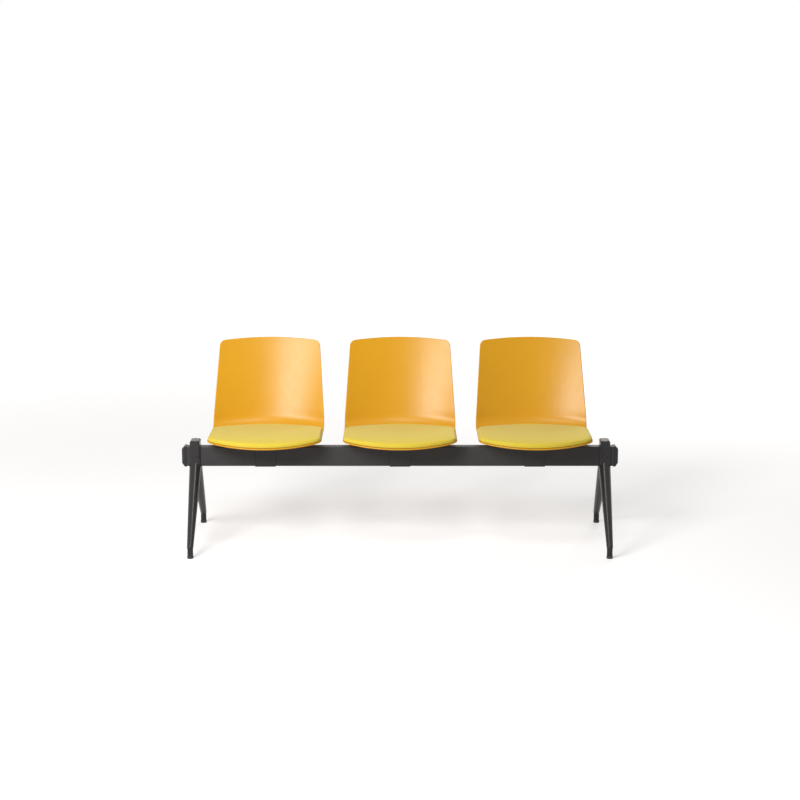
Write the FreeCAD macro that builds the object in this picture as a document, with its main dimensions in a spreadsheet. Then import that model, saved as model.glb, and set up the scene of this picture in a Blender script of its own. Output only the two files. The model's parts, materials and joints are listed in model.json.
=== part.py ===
import FreeCAD, Part
import math
import os
import re

import Sketcher

# Three-place bench on a beam, in millimetres and degrees.
# The frame: X along the beam, Y to the rear, Z up from the floor. Every piece is drawn with Y = 0 at the
# beam's axis, and its Placement then carries it to its seat and to the bench's own middle.

SIZES = (
    # Bench
    ("beam_axis_y", -58.95, "beam's axis, from the middle of the bench's depth"),
    ("seat_pitch", 540, "distance between the middles of two seats"),
    # Beam
    ("beam_overhang", 315.5, "tube beyond the middle of an outer seat"),
    ("beam_height", 80, "height of the tube"),
    ("beam_depth", 40, "depth of the tube"),
    ("beam_wall", 3, "wall of the tube"),
    ("beam_corner", 4, "outer corner radius of the tube"),
    ("beam_bottom", 310, "height of the tube's underside above the floor"),
    # End caps
    ("cap_rim", 1.5, "how far the cap stands out beyond the tube"),
    ("cap_flange", 8, "length of the cap's straight rim"),
    ("cap_nose", 11.5, "length of the bevelled part"),
    ("cap_face_height", 58, "height of the flat outer face"),
    ("cap_face_depth", 20, "depth of the flat outer face"),
    ("cap_rounding", 3, "rounding of the nose's edges"),
    ("cap_plug", 35, "length of the part inside the tube"),
    ("cap_plug_wall", 2.5, "wall of the part inside the tube"),
    ("cap_fit", 0.2, "clearance between that part and the tube"),
    # Clamps
    ("clamp_inset", 34.5, "middle of a leg frame, from the tube's end"),
    ("clamp_width", 40, "width of the clamp along the beam"),
    ("clamp_wall", 12, "metal before and behind the beam"),
    ("clamp_top", 25, "metal above the beam"),
    ("clamp_floor", 10, "metal under the beam, between the legs"),
    ("clamp_seam", 39, "seam between the halves, above the beam's underside"),
    ("seam_gap", 1.2, "gap between the halves"),
    ("clamp_bevel", 4.5, "bevel along the clamp's outer edges"),
    ("clamp_fit", 0.1, "clearance between the beam and the clamp's walls"),
    ("clamp_screw_radius", 3, "clamp screw's shank"),
    ("clamp_screw_head", 5, "radius of the clamp screw's head"),
    ("clamp_screw_head_height", 6, "height of the clamp screw's head"),
    ("clamp_screw_grip", 28, "thread inside the lower half"),
    ("clamp_screw_sink", 11, "depth of the seat of the head, below the clamp's top"),
    ("clamp_hole_fit", 0.3, "clearance round shank and head in the upper half"),
    ("clamp_plug", 3, "thickness of the plug over the screw"),
    # Leg frames
    ("foot_spread", 280, "foot's middle, from the beam's axis"),
    ("leg_apex", 15, "point where the legs' axes meet, above the beam's underside"),
    ("leg_root_radius", 24.5, "radius of a leg at that point"),
    ("leg_middle_radius", 18, "radius of a leg at its middle"),
    ("leg_middle_reach", 232, "distance from the axes' point to the leg's middle"),
    ("leg_end_radius", 12.8, "radius of a leg at its knuckle"),
    ("knuckle_height", 45, "height of the knuckle's centre"),
    ("ankle_radius", 11.5, "radius of the upright ankle"),
    # Levelling feet
    ("foot_radius", 12.5, "radius of the foot"),
    ("foot_height", 11, "height of the foot"),
    ("foot_bevel", 1.5, "bevel at the foot's lower and upper edge"),
    ("foot_floor", 3, "material under the stem's head"),
    ("foot_gap", 0.3, "gap between foot and ankle when screwed in"),
    ("stem_radius", 4, "radius of the threaded stem"),
    ("stem_reach", 33, "length of the stem above the foot"),
    ("stem_head_radius", 7, "radius of the stem's head"),
    ("stem_head_height", 3.5, "height of the stem's head"),
    ("swivel_fit", 0.08, "clearance between the stem's head and the foot"),
    ("stem_fit", 0.05, "clearance between stem and insert"),
    ("insert_radius", 6, "outer radius of the threaded insert"),
    ("insert_length", 26, "length of the threaded insert"),
    ("stem_room", 4, "free depth above the stem"),
    # Straps
    ("strap_width", 82, "width of the strap along the beam"),
    ("strap_plate", 3, "thickness of the strap"),
    ("strap_ear", 22, "length of the strap's ears"),
    ("strap_edge", 1.2, "bevel on the strap's side edges"),
    ("strap_screw_x", 27, "strap screw, from the seat's middle"),
    ("strap_screw_inset", 11, "strap screw, from the ear's bend"),
    ("strap_screw_radius", 4, "strap screw's shank"),
    ("strap_screw_head", 7.4, "radius over the corners of head and nut"),
    ("strap_screw_head_height", 5.3, "height of the strap screw's head"),
    ("strap_nut_height", 6.5, "height of the strap nut"),
    ("screw_tail", 1.5, "thread beyond a nut"),
    ("screw_hole_fit", 0.4, "clearance round a shank in a plain hole"),
    # Seat supports
    ("support_plate", 5, "thickness of the seat support"),
    ("support_margin", 16, "metal round the middle of a boss"),
    ("support_corner", 8, "corner radius of the seat support"),
    ("rib_drop", 14, "height of the ribs under the support"),
    ("rib_plate", 4, "thickness of the ribs"),
    ("rib_gap", 1, "gap between the ribs and the strap's ear"),
    ("boss_x", 75, "boss, from the seat's middle"),
    ("boss_front_y", -45, "front bosses, from the beam's axis"),
    ("boss_rear_y", 150, "rear bosses, from the beam's axis"),
    ("boss_radius", 11, "radius of a boss"),
    ("boss_insert_radius", 4.5, "outer radius of a boss insert"),
    ("boss_insert_length", 10, "length of a boss insert"),
    ("shell_screw_radius", 3, "shell screw's shank"),
    ("shell_screw_head", 6, "radius of the shell screw's head"),
    ("shell_screw_head_height", 3.5, "height of the shell screw's head"),
    # Shells
    ("shell_wall", 5.5, "wall of the shell"),
    ("shell_half_width", 228, "half the width of the seat"),
    ("shell_rim", 2.2, "rounding of the shell's edge"),
    ("lip_reach", 165, "front lip, before the beam's axis"),
    ("lip_bow", 75, "how far the lip's ends lie behind its middle"),
    ("lip_bow_x", 222, "half width at which the bow is measured"),
    ("lip_corner", 50, "corner radius between lip and side"),
    ("lip_start", 60, "start of the lip's droop, before the beam's axis"),
    ("lip_radius", 515, "radius of the lip's droop"),
    ("seat_slope", 2, "fall of the seat to the rear"),
    ("back_recline", 20.3, "lean of the back"),
    ("bend_radius", 80, "radius between seat and back"),
    ("knee_y", 273.3, "where the lines of seat and back meet, behind the beam's axis"),
    ("knee_rise", 17.3, "where these lines meet, above the beam's top"),
    ("seat_dish", 11, "rise of the seat's sides over its middle"),
    ("sweep_low", 60, "how far the back's sides lie before its middle, at the bend"),
    ("sweep_top", 38, "the same at the top"),
    ("sweep_start", 120, "where the sides start to come forward, before the bend"),
    ("profile_spare", 30, "surface beyond the shell's edges"),
    ("profile_step", 12, "distance between two stations of the profile"),
    ("back_rise", 375.5, "top of the back, above the beam's top"),
    ("side_taper", 3.9, "lean of the back's side edges"),
    ("side_bend_rise", 40, "start of this lean, above the beam's top"),
    ("side_bend_radius", 600, "radius at its start"),
    ("crown_drop", 8.5, "fall of the top edge to its ends"),
    ("crown_x", 193, "half width at which this fall is measured"),
    ("top_corner", 24, "corner radius of the back"),
    # Pads
    ("pad_inset", 4, "from the shell's edge to the pad's edge"),
    ("pad_rear_y", 245, "rear edge of the pad, behind the beam's axis"),
    ("pad_rear_bow", 60, "how far the ends of the rear edge lie before its middle"),
    ("pad_rear_bow_x", 190, "half width at which this is measured"),
    ("pad_rear_corner", 60, "corner radius at the pad's rear"),
    ("pad_crown", 21, "height of the pad in its middle"),
    ("pad_side", 9, "height of the pad at its edge"),
    ("pad_tuck", 6, "how far the pad's foot is drawn in"),
    ("pad_fit", 0.3, "clearance between pad and shell"),
    ("board_plate", 3, "thickness of the board in the pad"),
    ("board_inset", 16, "from the pad's edge to the board's edge"),
    ("pad_screw_x", 95, "pad screw, from the seat's middle"),
    ("pad_screw_front_y", -65, "front pad screws, from the beam's axis"),
    ("pad_screw_rear_y", 115, "rear pad screws, from the beam's axis"),
    ("pad_screw_radius", 2, "pad screw's shank"),
    ("pad_screw_fit", 0.05, "clearance between the pad screw and the board"),
    ("pad_screw_head", 4.5, "radius of the pad screw's head"),
    ("pad_screw_head_height", 2.4, "height of the pad screw's head"),
    ("pad_screw_sink", 2.6, "depth of the head's recess under the shell"),
)

SEATS = (("left", -1), ("middle", 0), ("right", 1))
SIDES = (("left", -1), ("right", 1))
DEPTHS = (("front", -1), ("rear", 1))

doc = FreeCAD.newDocument("beam_seating")
sheet = doc.addObject("Spreadsheet::Sheet", "sizes")
for line, (alias, number, meaning) in enumerate(SIZES, start=1):
    sheet.set(f"A{line}", meaning)
    sheet.set(f"B{line}", str(number))
    sheet.setAlias(f"B{line}", alias)
doc.recompute()

ALIAS = re.compile(r"\b(" + "|".join(alias for alias, number, meaning in SIZES) + r")\b")
nodes = []


# Sizes and placing


def size(name):
    """Number that the sheet holds under a name."""
    return float(sheet.get(name))


def linked(formula):
    """Formula in which each size's name points at the sheet."""
    return ALIAS.sub(r"sizes.\1", formula)


def bind(item, prop, formula):
    """Tie a property to a formula in the sheet's names."""
    item.setExpression(prop, linked(formula))


def place(item, x="0", y="0", z="0"):
    """Tie the three coordinates of an object's place to formulas."""
    for axis, formula in zip("xyz", (x, y, z)):
        bind(item, f"Placement.Base.{axis}", formula)
    return item


def number_of(formula):
    """Present value of a formula in the sheet's names."""
    return float(sheet.evalExpression(linked(formula)))


def node(item, label, x="0"):
    """Give a finished sub-part its name and carry it to its place on the bench."""
    item.Label = label
    place(item, x, "beam_axis_y")
    nodes.append(item)
    return item


# Primitives and booleans tied to the sheet


def block(name, length, depth, height, x="0", y="0", z="0"):
    """Box with its lowest corner at x, y, z."""
    item = doc.addObject("Part::Box", name)
    for prop, formula in (("Length", length), ("Width", depth), ("Height", height)):
        bind(item, prop, formula)
    return place(item, x, y, z)


def rod(name, radius, height, x="0", y="0", z="0"):
    """Upright cylinder standing on x, y, z."""
    item = doc.addObject("Part::Cylinder", name)
    bind(item, "Radius", radius)
    bind(item, "Height", height)
    return place(item, x, y, z)


def hexagon(name, corner_radius, height, x="0", y="0", z="0"):
    """Upright six-sided prism standing on x, y, z."""
    item = doc.addObject("Part::Prism", name)
    item.Polygon = 6
    bind(item, "Circumradius", corner_radius)
    bind(item, "Height", height)
    return place(item, x, y, z)


def join(name, items):
    """One solid out of several."""
    item = doc.addObject("Part::MultiFuse", name)
    item.Shapes = items
    item.Refine = True
    return item


def carve(name, base, tools):
    """Base without the tools."""
    item = doc.addObject("Part::Cut", name)
    item.Base = base
    item.Tool = tools[0] if len(tools) == 1 else join(f"{name}_tools", tools)
    item.Refine = True
    return item


def group(name, items):
    """Separate solids that share one node."""
    item = doc.addObject("Part::Compound", name)
    item.Links = items
    return item


def soften(kind, name, base, radius, wanted):
    """Fillet or chamfer along the base's wanted edges."""
    doc.recompute()
    picked = [number for number, edge in enumerate(base.Shape.Edges, start=1) if wanted(edge)]
    item = doc.addObject(f"Part::{kind}", name)
    item.Base = base
    item.Edges = [(number, radius, radius) for number in picked]
    return item


def runs_along(edge, axis):
    """True for a straight edge parallel to the axis vector."""
    if not isinstance(edge.Curve, (Part.Line, Part.LineSegment)):
        return False
    return edge.tangentAt(edge.FirstParameter).cross(axis).Length < 1e-6


# Bodies with sketches tied to the sheet


def origin_plane(body, role):
    """One of the body's own three planes."""
    return next(item for item in body.Origin.OriginFeatures if item.Role == role)


def sketch_on(body, name, role, height="0"):
    """Sketch on one of the body's planes, lifted by a formula along the plane's normal."""
    sketch = body.newObject("Sketcher::SketchObject", name)
    sketch.AttachmentSupport = [(origin_plane(body, role), "")]
    sketch.MapMode = "FlatFace"
    bind(sketch, "AttachmentOffset.Base.z", height)
    return sketch


def draw_outline(sketch, corners):
    """Closed outline of straight lines whose corners are pairs of formulas."""
    points = [FreeCAD.Vector(number_of(x), number_of(y), 0) for x, y in corners]
    ends = points[1:] + points[:1]
    first = sketch.GeometryCount
    sketch.addGeometry([Part.LineSegment(a, b) for a, b in zip(points, ends)], False)
    for index, (x, y) in enumerate(corners):
        following = first + (index + 1) % len(corners)
        sketch.addConstraint(Sketcher.Constraint("Coincident", first + index, 2, following, 1))
        for kind, formula in (("DistanceX", x), ("DistanceY", y)):
            constraint = Sketcher.Constraint(kind, -1, 1, first + index, 1, number_of(formula))
            bind(sketch, f"Constraints[{sketch.addConstraint(constraint)}]", formula)


def draw_circle(sketch, radius, x, y):
    """Circle whose radius and centre are formulas."""
    centre = FreeCAD.Vector(number_of(x), number_of(y), 0)
    circle = Part.Circle(centre, FreeCAD.Vector(0, 0, 1), number_of(radius))
    index = sketch.addGeometry(circle, False)
    for constraint, formula in (
        (Sketcher.Constraint("Radius", index, circle.Radius), radius),
        (Sketcher.Constraint("DistanceX", -1, 1, index, 3, centre.x), x),
        (Sketcher.Constraint("DistanceY", -1, 1, index, 3, centre.y), y),
    ):
        bind(sketch, f"Constraints[{sketch.addConstraint(constraint)}]", formula)


def pad(body, name, sketch, length, reverse=False):
    """Pad of a sketch."""
    item = body.newObject("PartDesign::Pad", name)
    item.Profile = sketch
    item.Reversed = reverse
    bind(item, "Length", length)
    return item


def pocket(body, name, sketch, reverse=True):
    """Pocket of a sketch through the whole body."""
    doc.recompute()
    before = body.Shape.Volume
    item = body.newObject("PartDesign::Pocket", name)
    item.Profile = sketch
    item.Type = "ThroughAll"
    item.Reversed = reverse
    doc.recompute()
    assert body.Shape.Volume < before, f"{name} cuts nothing"
    return item


def turn(body, name, sketch):
    """Full revolution of a sketch about its upright axis."""
    item = body.newObject("PartDesign::Revolution", name)
    item.Profile = sketch
    item.ReferenceAxis = (sketch, ["V_Axis"])
    item.Angle = 360
    return item


def dress(body, kind, name, radius, wanted):
    """Fillet or chamfer on a body's wanted edges, its size tied to a formula."""
    doc.recompute()
    base = body.Tip
    picked = [f"Edge{number}" for number, edge in enumerate(base.Shape.Edges, start=1) if wanted(edge)]
    item = body.newObject(f"PartDesign::{kind}", name)
    item.Base = (base, picked)
    bind(item, "Radius" if kind == "Fillet" else "Size", radius)
    return item


# Beam


BEAM_END = "(seat_pitch + beam_overhang)"


def beam_tube():
    """Rectangular tube, lying along X."""
    body = doc.addObject("PartDesign::Body", "beam_tube")
    sketch = sketch_on(body, "beam_section", "YZ_Plane", f"-{BEAM_END}")
    for inset in ("0", "beam_wall"):
        half = f"(beam_depth / 2 - {inset})"
        low = f"beam_bottom + {inset}"
        high = f"beam_bottom + beam_height - {inset}"
        draw_outline(sketch, ((f"-{half}", low), (half, low), (half, high), (f"-{half}", high)))
    pad(body, "beam_wall_pad", sketch, f"2 * {BEAM_END}")
    outside = size("beam_depth") / 2

    def outer_corner(edge):
        along = runs_along(edge, FreeCAD.Vector(1, 0, 0))
        return along and abs(abs(edge.CenterOfMass.y) - outside) < 1e-6

    dress(body, "Fillet", "beam_corners", "beam_corner", outer_corner)
    return body


def end_cap(side, sign):
    """Cap with a hollow plug, a rim and a bevelled nose, drawn for the right end and turned for the left."""
    name = f"end_cap_{side}"
    plug_depth = "(beam_depth - 2 * beam_wall - 2 * cap_fit)"
    plug_height = "(beam_height - 2 * beam_wall - 2 * cap_fit)"
    low = "beam_bottom + beam_wall + cap_fit"
    plug_start = f"{BEAM_END} - cap_plug"
    plug = block(f"{name}_plug", "cap_plug", plug_depth, plug_height, plug_start, f"-{plug_depth} / 2", low)
    hollow = block(
        f"{name}_hollow",
        "cap_plug",
        f"{plug_depth} - 2 * cap_plug_wall",
        f"{plug_height} - 2 * cap_plug_wall",
        plug_start,
        f"-{plug_depth} / 2 + cap_plug_wall",
        f"{low} + cap_plug_wall",
    )
    ring = carve(f"{name}_ring", plug, [hollow])
    flange = block(
        f"{name}_flange",
        "cap_flange",
        "beam_depth + 2 * cap_rim",
        "beam_height + 2 * cap_rim",
        BEAM_END,
        "-beam_depth / 2 - cap_rim",
        "beam_bottom - cap_rim",
    )
    # The nose: a wedge that narrows from the rim's outline to the flat face.
    nose = doc.addObject("Part::Wedge", f"{name}_nose")
    for prop, formula in (
        ("Xmin", "-beam_depth / 2 - cap_rim"),
        ("Xmax", "beam_depth / 2 + cap_rim"),
        ("Ymin", "0"),
        ("Ymax", "cap_nose"),
        ("Zmin", "-beam_height / 2 - cap_rim"),
        ("Zmax", "beam_height / 2 + cap_rim"),
        ("X2min", "-cap_face_depth / 2"),
        ("X2max", "cap_face_depth / 2"),
        ("Z2min", "-cap_face_height / 2"),
        ("Z2max", "cap_face_height / 2"),
    ):
        bind(nose, prop, formula)
    nose.Placement.Rotation = FreeCAD.Rotation(FreeCAD.Vector(0, 0, 1), -90)
    place(nose, f"{BEAM_END} + cap_flange", "0", "beam_bottom + beam_height / 2")
    whole = join(f"{name}_whole", [ring, flange, nose])
    face_x = number_of(f"{BEAM_END} + cap_flange")

    def outer(edge):
        return edge.BoundBox.XMax > face_x - 1e-6 and not runs_along(edge, FreeCAD.Vector(1, 0, 0))

    cap = soften("Fillet", name, whole, size("cap_rounding"), outer)
    cap.Placement.Rotation = FreeCAD.Rotation(FreeCAD.Vector(0, 0, 1), 0 if sign > 0 else 180)
    return cap


# Clamps and leg frames


def beam_passage(name):
    """Space that the beam fills inside a clamp."""
    return block(
        name,
        "clamp_width * 2",
        "beam_depth + 2 * clamp_fit",
        "beam_height",
        "-clamp_width",
        "-beam_depth / 2 - clamp_fit",
        "beam_bottom",
    )


CLAMP_SCREW_Y = "(beam_depth / 2 + clamp_wall / 2)"
CLAMP_CREST = "(beam_bottom + beam_height + clamp_top)"
HEAD_SEAT = f"({CLAMP_CREST} - clamp_screw_sink)"
JAW_TOP = "(beam_bottom + clamp_seam)"


def clamp_block(name, low, high):
    """Block of the clamp's outline between two heights, with its edges bevelled."""
    whole = block(
        f"{name}_block",
        "clamp_width",
        "beam_depth + 2 * clamp_wall",
        f"{high} - {low}",
        "-clamp_width / 2",
        "-beam_depth / 2 - clamp_wall",
        low,
    )
    crest = number_of(CLAMP_CREST)

    def bevelled(edge):
        return runs_along(edge, FreeCAD.Vector(0, 0, 1)) or edge.BoundBox.ZMin > crest - 1e-6

    return soften("Chamfer", f"{name}_bevelled", whole, size("clamp_bevel"), bevelled)


def clamp_cap(side, x):
    """Upper half of the clamp, open below for the beam, with two counterbored screw holes."""
    name = f"clamp_cap_{side}"
    whole = clamp_block(name, f"({JAW_TOP} + seam_gap)", CLAMP_CREST)
    tools = [beam_passage(f"{name}_passage")]
    for depth, sign in DEPTHS:
        y = f"{sign} * {CLAMP_SCREW_Y}"
        hole = ("clamp_screw_radius + clamp_hole_fit", f"{HEAD_SEAT} - {JAW_TOP}")
        tools.append(rod(f"{name}_hole_{depth}", *hole, y=y, z=JAW_TOP))
        sink = ("clamp_screw_head + clamp_hole_fit", "clamp_screw_sink")
        tools.append(rod(f"{name}_sink_{depth}", *sink, y=y, z=HEAD_SEAT))
    node(carve(name, whole, tools), name, x)


def clamp_screws(side, x):
    """Two cap-head screws with hexagon sockets, and the plugs that close their holes."""
    screws = []
    plugs = []
    shank_foot = f"({JAW_TOP} - clamp_screw_grip)"
    for depth, sign in DEPTHS:
        name = f"clamp_screw_{side}_{depth}"
        y = f"{sign} * {CLAMP_SCREW_Y}"
        shank = rod(f"{name}_shank", "clamp_screw_radius", f"{HEAD_SEAT} - {shank_foot}", y=y, z=shank_foot)
        head = rod(f"{name}_head", "clamp_screw_head", "clamp_screw_head_height", y=y, z=HEAD_SEAT)
        socket = ("clamp_screw_radius", "clamp_screw_head_height")
        socket_foot = f"{HEAD_SEAT} + clamp_screw_head_height / 2"
        wrench = hexagon(f"{name}_socket", *socket, y=y, z=socket_foot)
        screws.append(carve(name, join(f"{name}_whole", [shank, head]), [wrench]))
        plug = ("clamp_screw_head + clamp_hole_fit", "clamp_plug")
        plugs.append(rod(f"clamp_plug_{side}_{depth}", *plug, y=y, z=f"{CLAMP_CREST} - clamp_plug"))
    node(group(f"clamp_screws_{side}", screws), f"clamp_screws_{side}", x)
    node(group(f"clamp_plugs_{side}", plugs), f"clamp_plugs_{side}", x)


def leg_frame(side, x):
    """Casting of two tapered legs, their upright ankles and the lower half of the clamp."""
    name = f"leg_frame_{side}"
    apex = "(beam_bottom + leg_apex)"
    fall = f"({apex} - knuckle_height)"
    reach = f"sqrt({fall} * {fall} + foot_spread * foot_spread)"
    foot_face = "(foot_height + foot_gap)"
    solids = [clamp_block(name, "(beam_bottom - clamp_floor)", JAW_TOP)]
    tools = [beam_passage(f"{name}_passage")]
    for depth, sign in DEPTHS:
        y = f"{sign} * foot_spread"
        stretches = (
            ("thigh", "leg_root_radius", "leg_middle_radius", "0", "leg_middle_reach"),
            ("shin", "leg_middle_radius", "leg_end_radius", "leg_middle_reach", reach),
        )
        for part, top_radius, low_radius, start, end in stretches:
            cone = doc.addObject("Part::Cone", f"{name}_{part}_{depth}")
            cone.Placement.Rotation = FreeCAD.Rotation(FreeCAD.Vector(-sign, 0, 0), 1)
            bind(cone, "Placement.Rotation.Angle", f"180 deg - atan(foot_spread / {fall})")
            bind(cone, "Radius1", top_radius)
            bind(cone, "Radius2", low_radius)
            bind(cone, "Height", f"{end} - ({start})")
            share = f"({start}) / {reach}"
            solids.append(place(cone, "0", f"{y} * {share}", f"{apex} - {fall} * {share}"))
        knuckle = doc.addObject("Part::Sphere", f"{name}_knuckle_{depth}")
        bind(knuckle, "Radius", "leg_end_radius")
        solids.append(place(knuckle, "0", y, "knuckle_height"))
        ankle_height = f"knuckle_height - {foot_face}"
        solids.append(rod(f"{name}_ankle_{depth}", "ankle_radius", ankle_height, y=y, z=foot_face))
        tools.append(rod(f"{name}_insert_bore_{depth}", "insert_radius", "insert_length", y=y, z=foot_face))
        bore = ("stem_radius + screw_hole_fit", "stem_reach + stem_room")
        tools.append(rod(f"{name}_stem_bore_{depth}", *bore, y=y, z="foot_height"))
        grip = ("clamp_screw_radius", "clamp_screw_grip")
        screw_y = f"{sign} * {CLAMP_SCREW_Y}"
        tools.append(rod(f"{name}_thread_{depth}", *grip, y=screw_y, z=f"{JAW_TOP} - clamp_screw_grip"))
    node(carve(name, join(f"{name}_whole", solids), tools), name, x)


# Levelling feet


def revolved(name, corners):
    """Body turned about its upright axis from an outline of radius and height."""
    body = doc.addObject("PartDesign::Body", name)
    sketch = sketch_on(body, f"{name}_section", "XZ_Plane")
    draw_outline(sketch, corners)
    turn(body, f"{name}_turned", sketch)
    return body


def levelling_foot(side, depth, x, y):
    """Foot, the stem held in it, and the insert in the ankle that the stem climbs in."""
    head_low = "foot_floor"
    head_high = "(foot_floor + stem_head_height)"
    foot = revolved(
        f"glide_foot_{side}_{depth}",
        (
            ("0", "0"),
            ("foot_radius - foot_bevel", "0"),
            ("foot_radius", "foot_bevel"),
            ("foot_radius", "foot_height - foot_bevel"),
            ("foot_radius - foot_bevel", "foot_height"),
            ("stem_radius + swivel_fit", "foot_height"),
            ("stem_radius + swivel_fit", f"{head_high} + swivel_fit"),
            ("stem_head_radius + swivel_fit", f"{head_high} + swivel_fit"),
            ("stem_head_radius + swivel_fit", f"{head_low} - swivel_fit"),
            ("0", f"{head_low} - swivel_fit"),
        ),
    )
    stem = revolved(
        f"glide_stem_{side}_{depth}",
        (
            ("0", head_low),
            ("stem_head_radius", head_low),
            ("stem_head_radius", head_high),
            ("stem_radius", head_high),
            ("stem_radius", "foot_height + stem_reach - stem_radius / 4"),
            ("stem_radius * 3 / 4", "foot_height + stem_reach"),
            ("0", "foot_height + stem_reach"),
        ),
    )
    insert_low = "(foot_height + foot_gap)"
    insert = revolved(
        f"glide_insert_{side}_{depth}",
        (
            ("stem_radius + stem_fit", insert_low),
            ("insert_radius", insert_low),
            ("insert_radius", f"{insert_low} + insert_length"),
            ("stem_radius + stem_fit", f"{insert_low} + insert_length"),
        ),
    )
    for body in (foot, stem, insert):
        node(body, body.Name, x)
        bind(body, "Placement.Base.y", f"beam_axis_y + {y}")


# Straps and seat supports


STRAP_SCREW_Y = "(beam_depth / 2 + strap_plate + strap_screw_inset)"
BEAM_TOP = "(beam_bottom + beam_height)"
SUPPORT_TOP = f"({BEAM_TOP} + support_plate)"


def four_places(x, front, rear):
    """Formulas of four places, two and two, on both sides of the seat's middle."""
    return [(f"{sign} * {x}", y) for y in (front, rear) for sign in (-1, 1)]


STRAP_SCREWS = four_places("strap_screw_x", f"-{STRAP_SCREW_Y}", STRAP_SCREW_Y)
SHELL_SCREWS = four_places("boss_x", "boss_front_y", "boss_rear_y")
PAD_SCREWS = four_places("pad_screw_x", "pad_screw_front_y", "pad_screw_rear_y")


def beam_strap(seat, x):
    """Bent plate round the front, underside and rear of the beam, with an ear at each end."""
    name = f"beam_strap_{seat}"
    body = doc.addObject("PartDesign::Body", name)
    sketch = sketch_on(body, f"{name}_section", "YZ_Plane", "-strap_width / 2")
    inner = "beam_depth / 2"
    outer = "(beam_depth / 2 + strap_plate)"
    tip = f"({outer} + strap_ear)"
    ear_low = f"{BEAM_TOP} - strap_plate"
    right_half = [
        (outer, "beam_bottom - strap_plate"),
        (outer, ear_low),
        (tip, ear_low),
        (tip, BEAM_TOP),
        (inner, BEAM_TOP),
        (inner, "beam_bottom"),
    ]
    left_half = [(f"-{y}", z) for y, z in reversed(right_half)]
    draw_outline(sketch, right_half + left_half)
    pad(body, f"{name}_plate", sketch, "strap_width")
    underside = size("beam_bottom")
    plate = size("strap_plate")

    def lower_bend(edge):
        return runs_along(edge, FreeCAD.Vector(1, 0, 0)) and edge.BoundBox.ZMax < underside - plate / 2

    def upper_bend(edge):
        return runs_along(edge, FreeCAD.Vector(1, 0, 0)) and abs(edge.BoundBox.ZMax - underside) < 1e-6

    dress(body, "Fillet", f"{name}_outer_bends", "beam_corner + strap_plate", lower_bend)
    dress(body, "Fillet", f"{name}_inner_bends", "beam_corner", upper_bend)
    holes = sketch_on(body, f"{name}_holes", "XY_Plane")
    for hole_x, hole_y in STRAP_SCREWS:
        draw_circle(holes, "strap_screw_radius + screw_hole_fit", hole_x, hole_y)
    pocket(body, f"{name}_drilled", holes)
    half = size("strap_width") / 2
    face = size("beam_depth") / 2 + plate

    def outer_side(edge):
        box = edge.BoundBox
        at_side = abs(abs(edge.CenterOfMass.x) - half) < 1e-6 and box.XLength < 1e-6
        outside = abs(box.YMin) > face - 1e-6 or box.ZMax < underside
        return at_side and outside and box.ZMin < underside + plate

    dress(body, "Chamfer", f"{name}_edges", "strap_edge", outer_side)
    return node(body, name, x)


def seat_support(seat, x):
    """Plate on the beam, with a bar for each pair of bosses and two ribs behind the beam."""
    name = f"seat_support_{seat}"
    body = doc.addObject("PartDesign::Body", name)
    spine = "(strap_width / 2)"
    bar = "(boss_x + support_margin)"
    front_low = "(boss_front_y - support_margin)"
    front_high = "(boss_front_y + support_margin)"
    rear_low = "(boss_rear_y - support_margin)"
    rear_high = "(boss_rear_y + support_margin)"
    right_half = [
        (bar, front_low),
        (bar, front_high),
        (spine, front_high),
        (spine, rear_low),
        (bar, rear_low),
        (bar, rear_high),
    ]
    left_half = [(f"-{px}", py) for px, py in reversed(right_half)]
    plate = sketch_on(body, f"{name}_outline", "XY_Plane", BEAM_TOP)
    draw_outline(plate, right_half + left_half)
    pad(body, f"{name}_plate", plate, "support_plate")

    def upright(edge):
        return runs_along(edge, FreeCAD.Vector(0, 0, 1))

    dress(body, "Fillet", f"{name}_corners", "support_corner", upright)
    rib_start = "(beam_depth / 2 + strap_plate + strap_ear + rib_gap)"
    for index, sign in enumerate((-1, 1), start=1):
        rib = sketch_on(body, f"{name}_rib_{index}", "XY_Plane", BEAM_TOP)
        outside = f"{sign} * {spine}"
        inside = f"{sign} * ({spine} - rib_plate)"
        corners = ((outside, rib_start), (inside, rib_start), (inside, rear_high), (outside, rear_high))
        draw_outline(rib, corners)
        pad(body, f"{name}_rib_pad_{index}", rib, "rib_drop", reverse=True)
    holes = sketch_on(body, f"{name}_holes", "XY_Plane")
    for hole_x, hole_y in STRAP_SCREWS:
        draw_circle(holes, "strap_screw_radius + screw_hole_fit", hole_x, hole_y)
    for hole_x, hole_y in SHELL_SCREWS:
        draw_circle(holes, "shell_screw_radius + screw_hole_fit", hole_x, hole_y)
    pocket(body, f"{name}_drilled", holes)
    return node(body, name, x)


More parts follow.
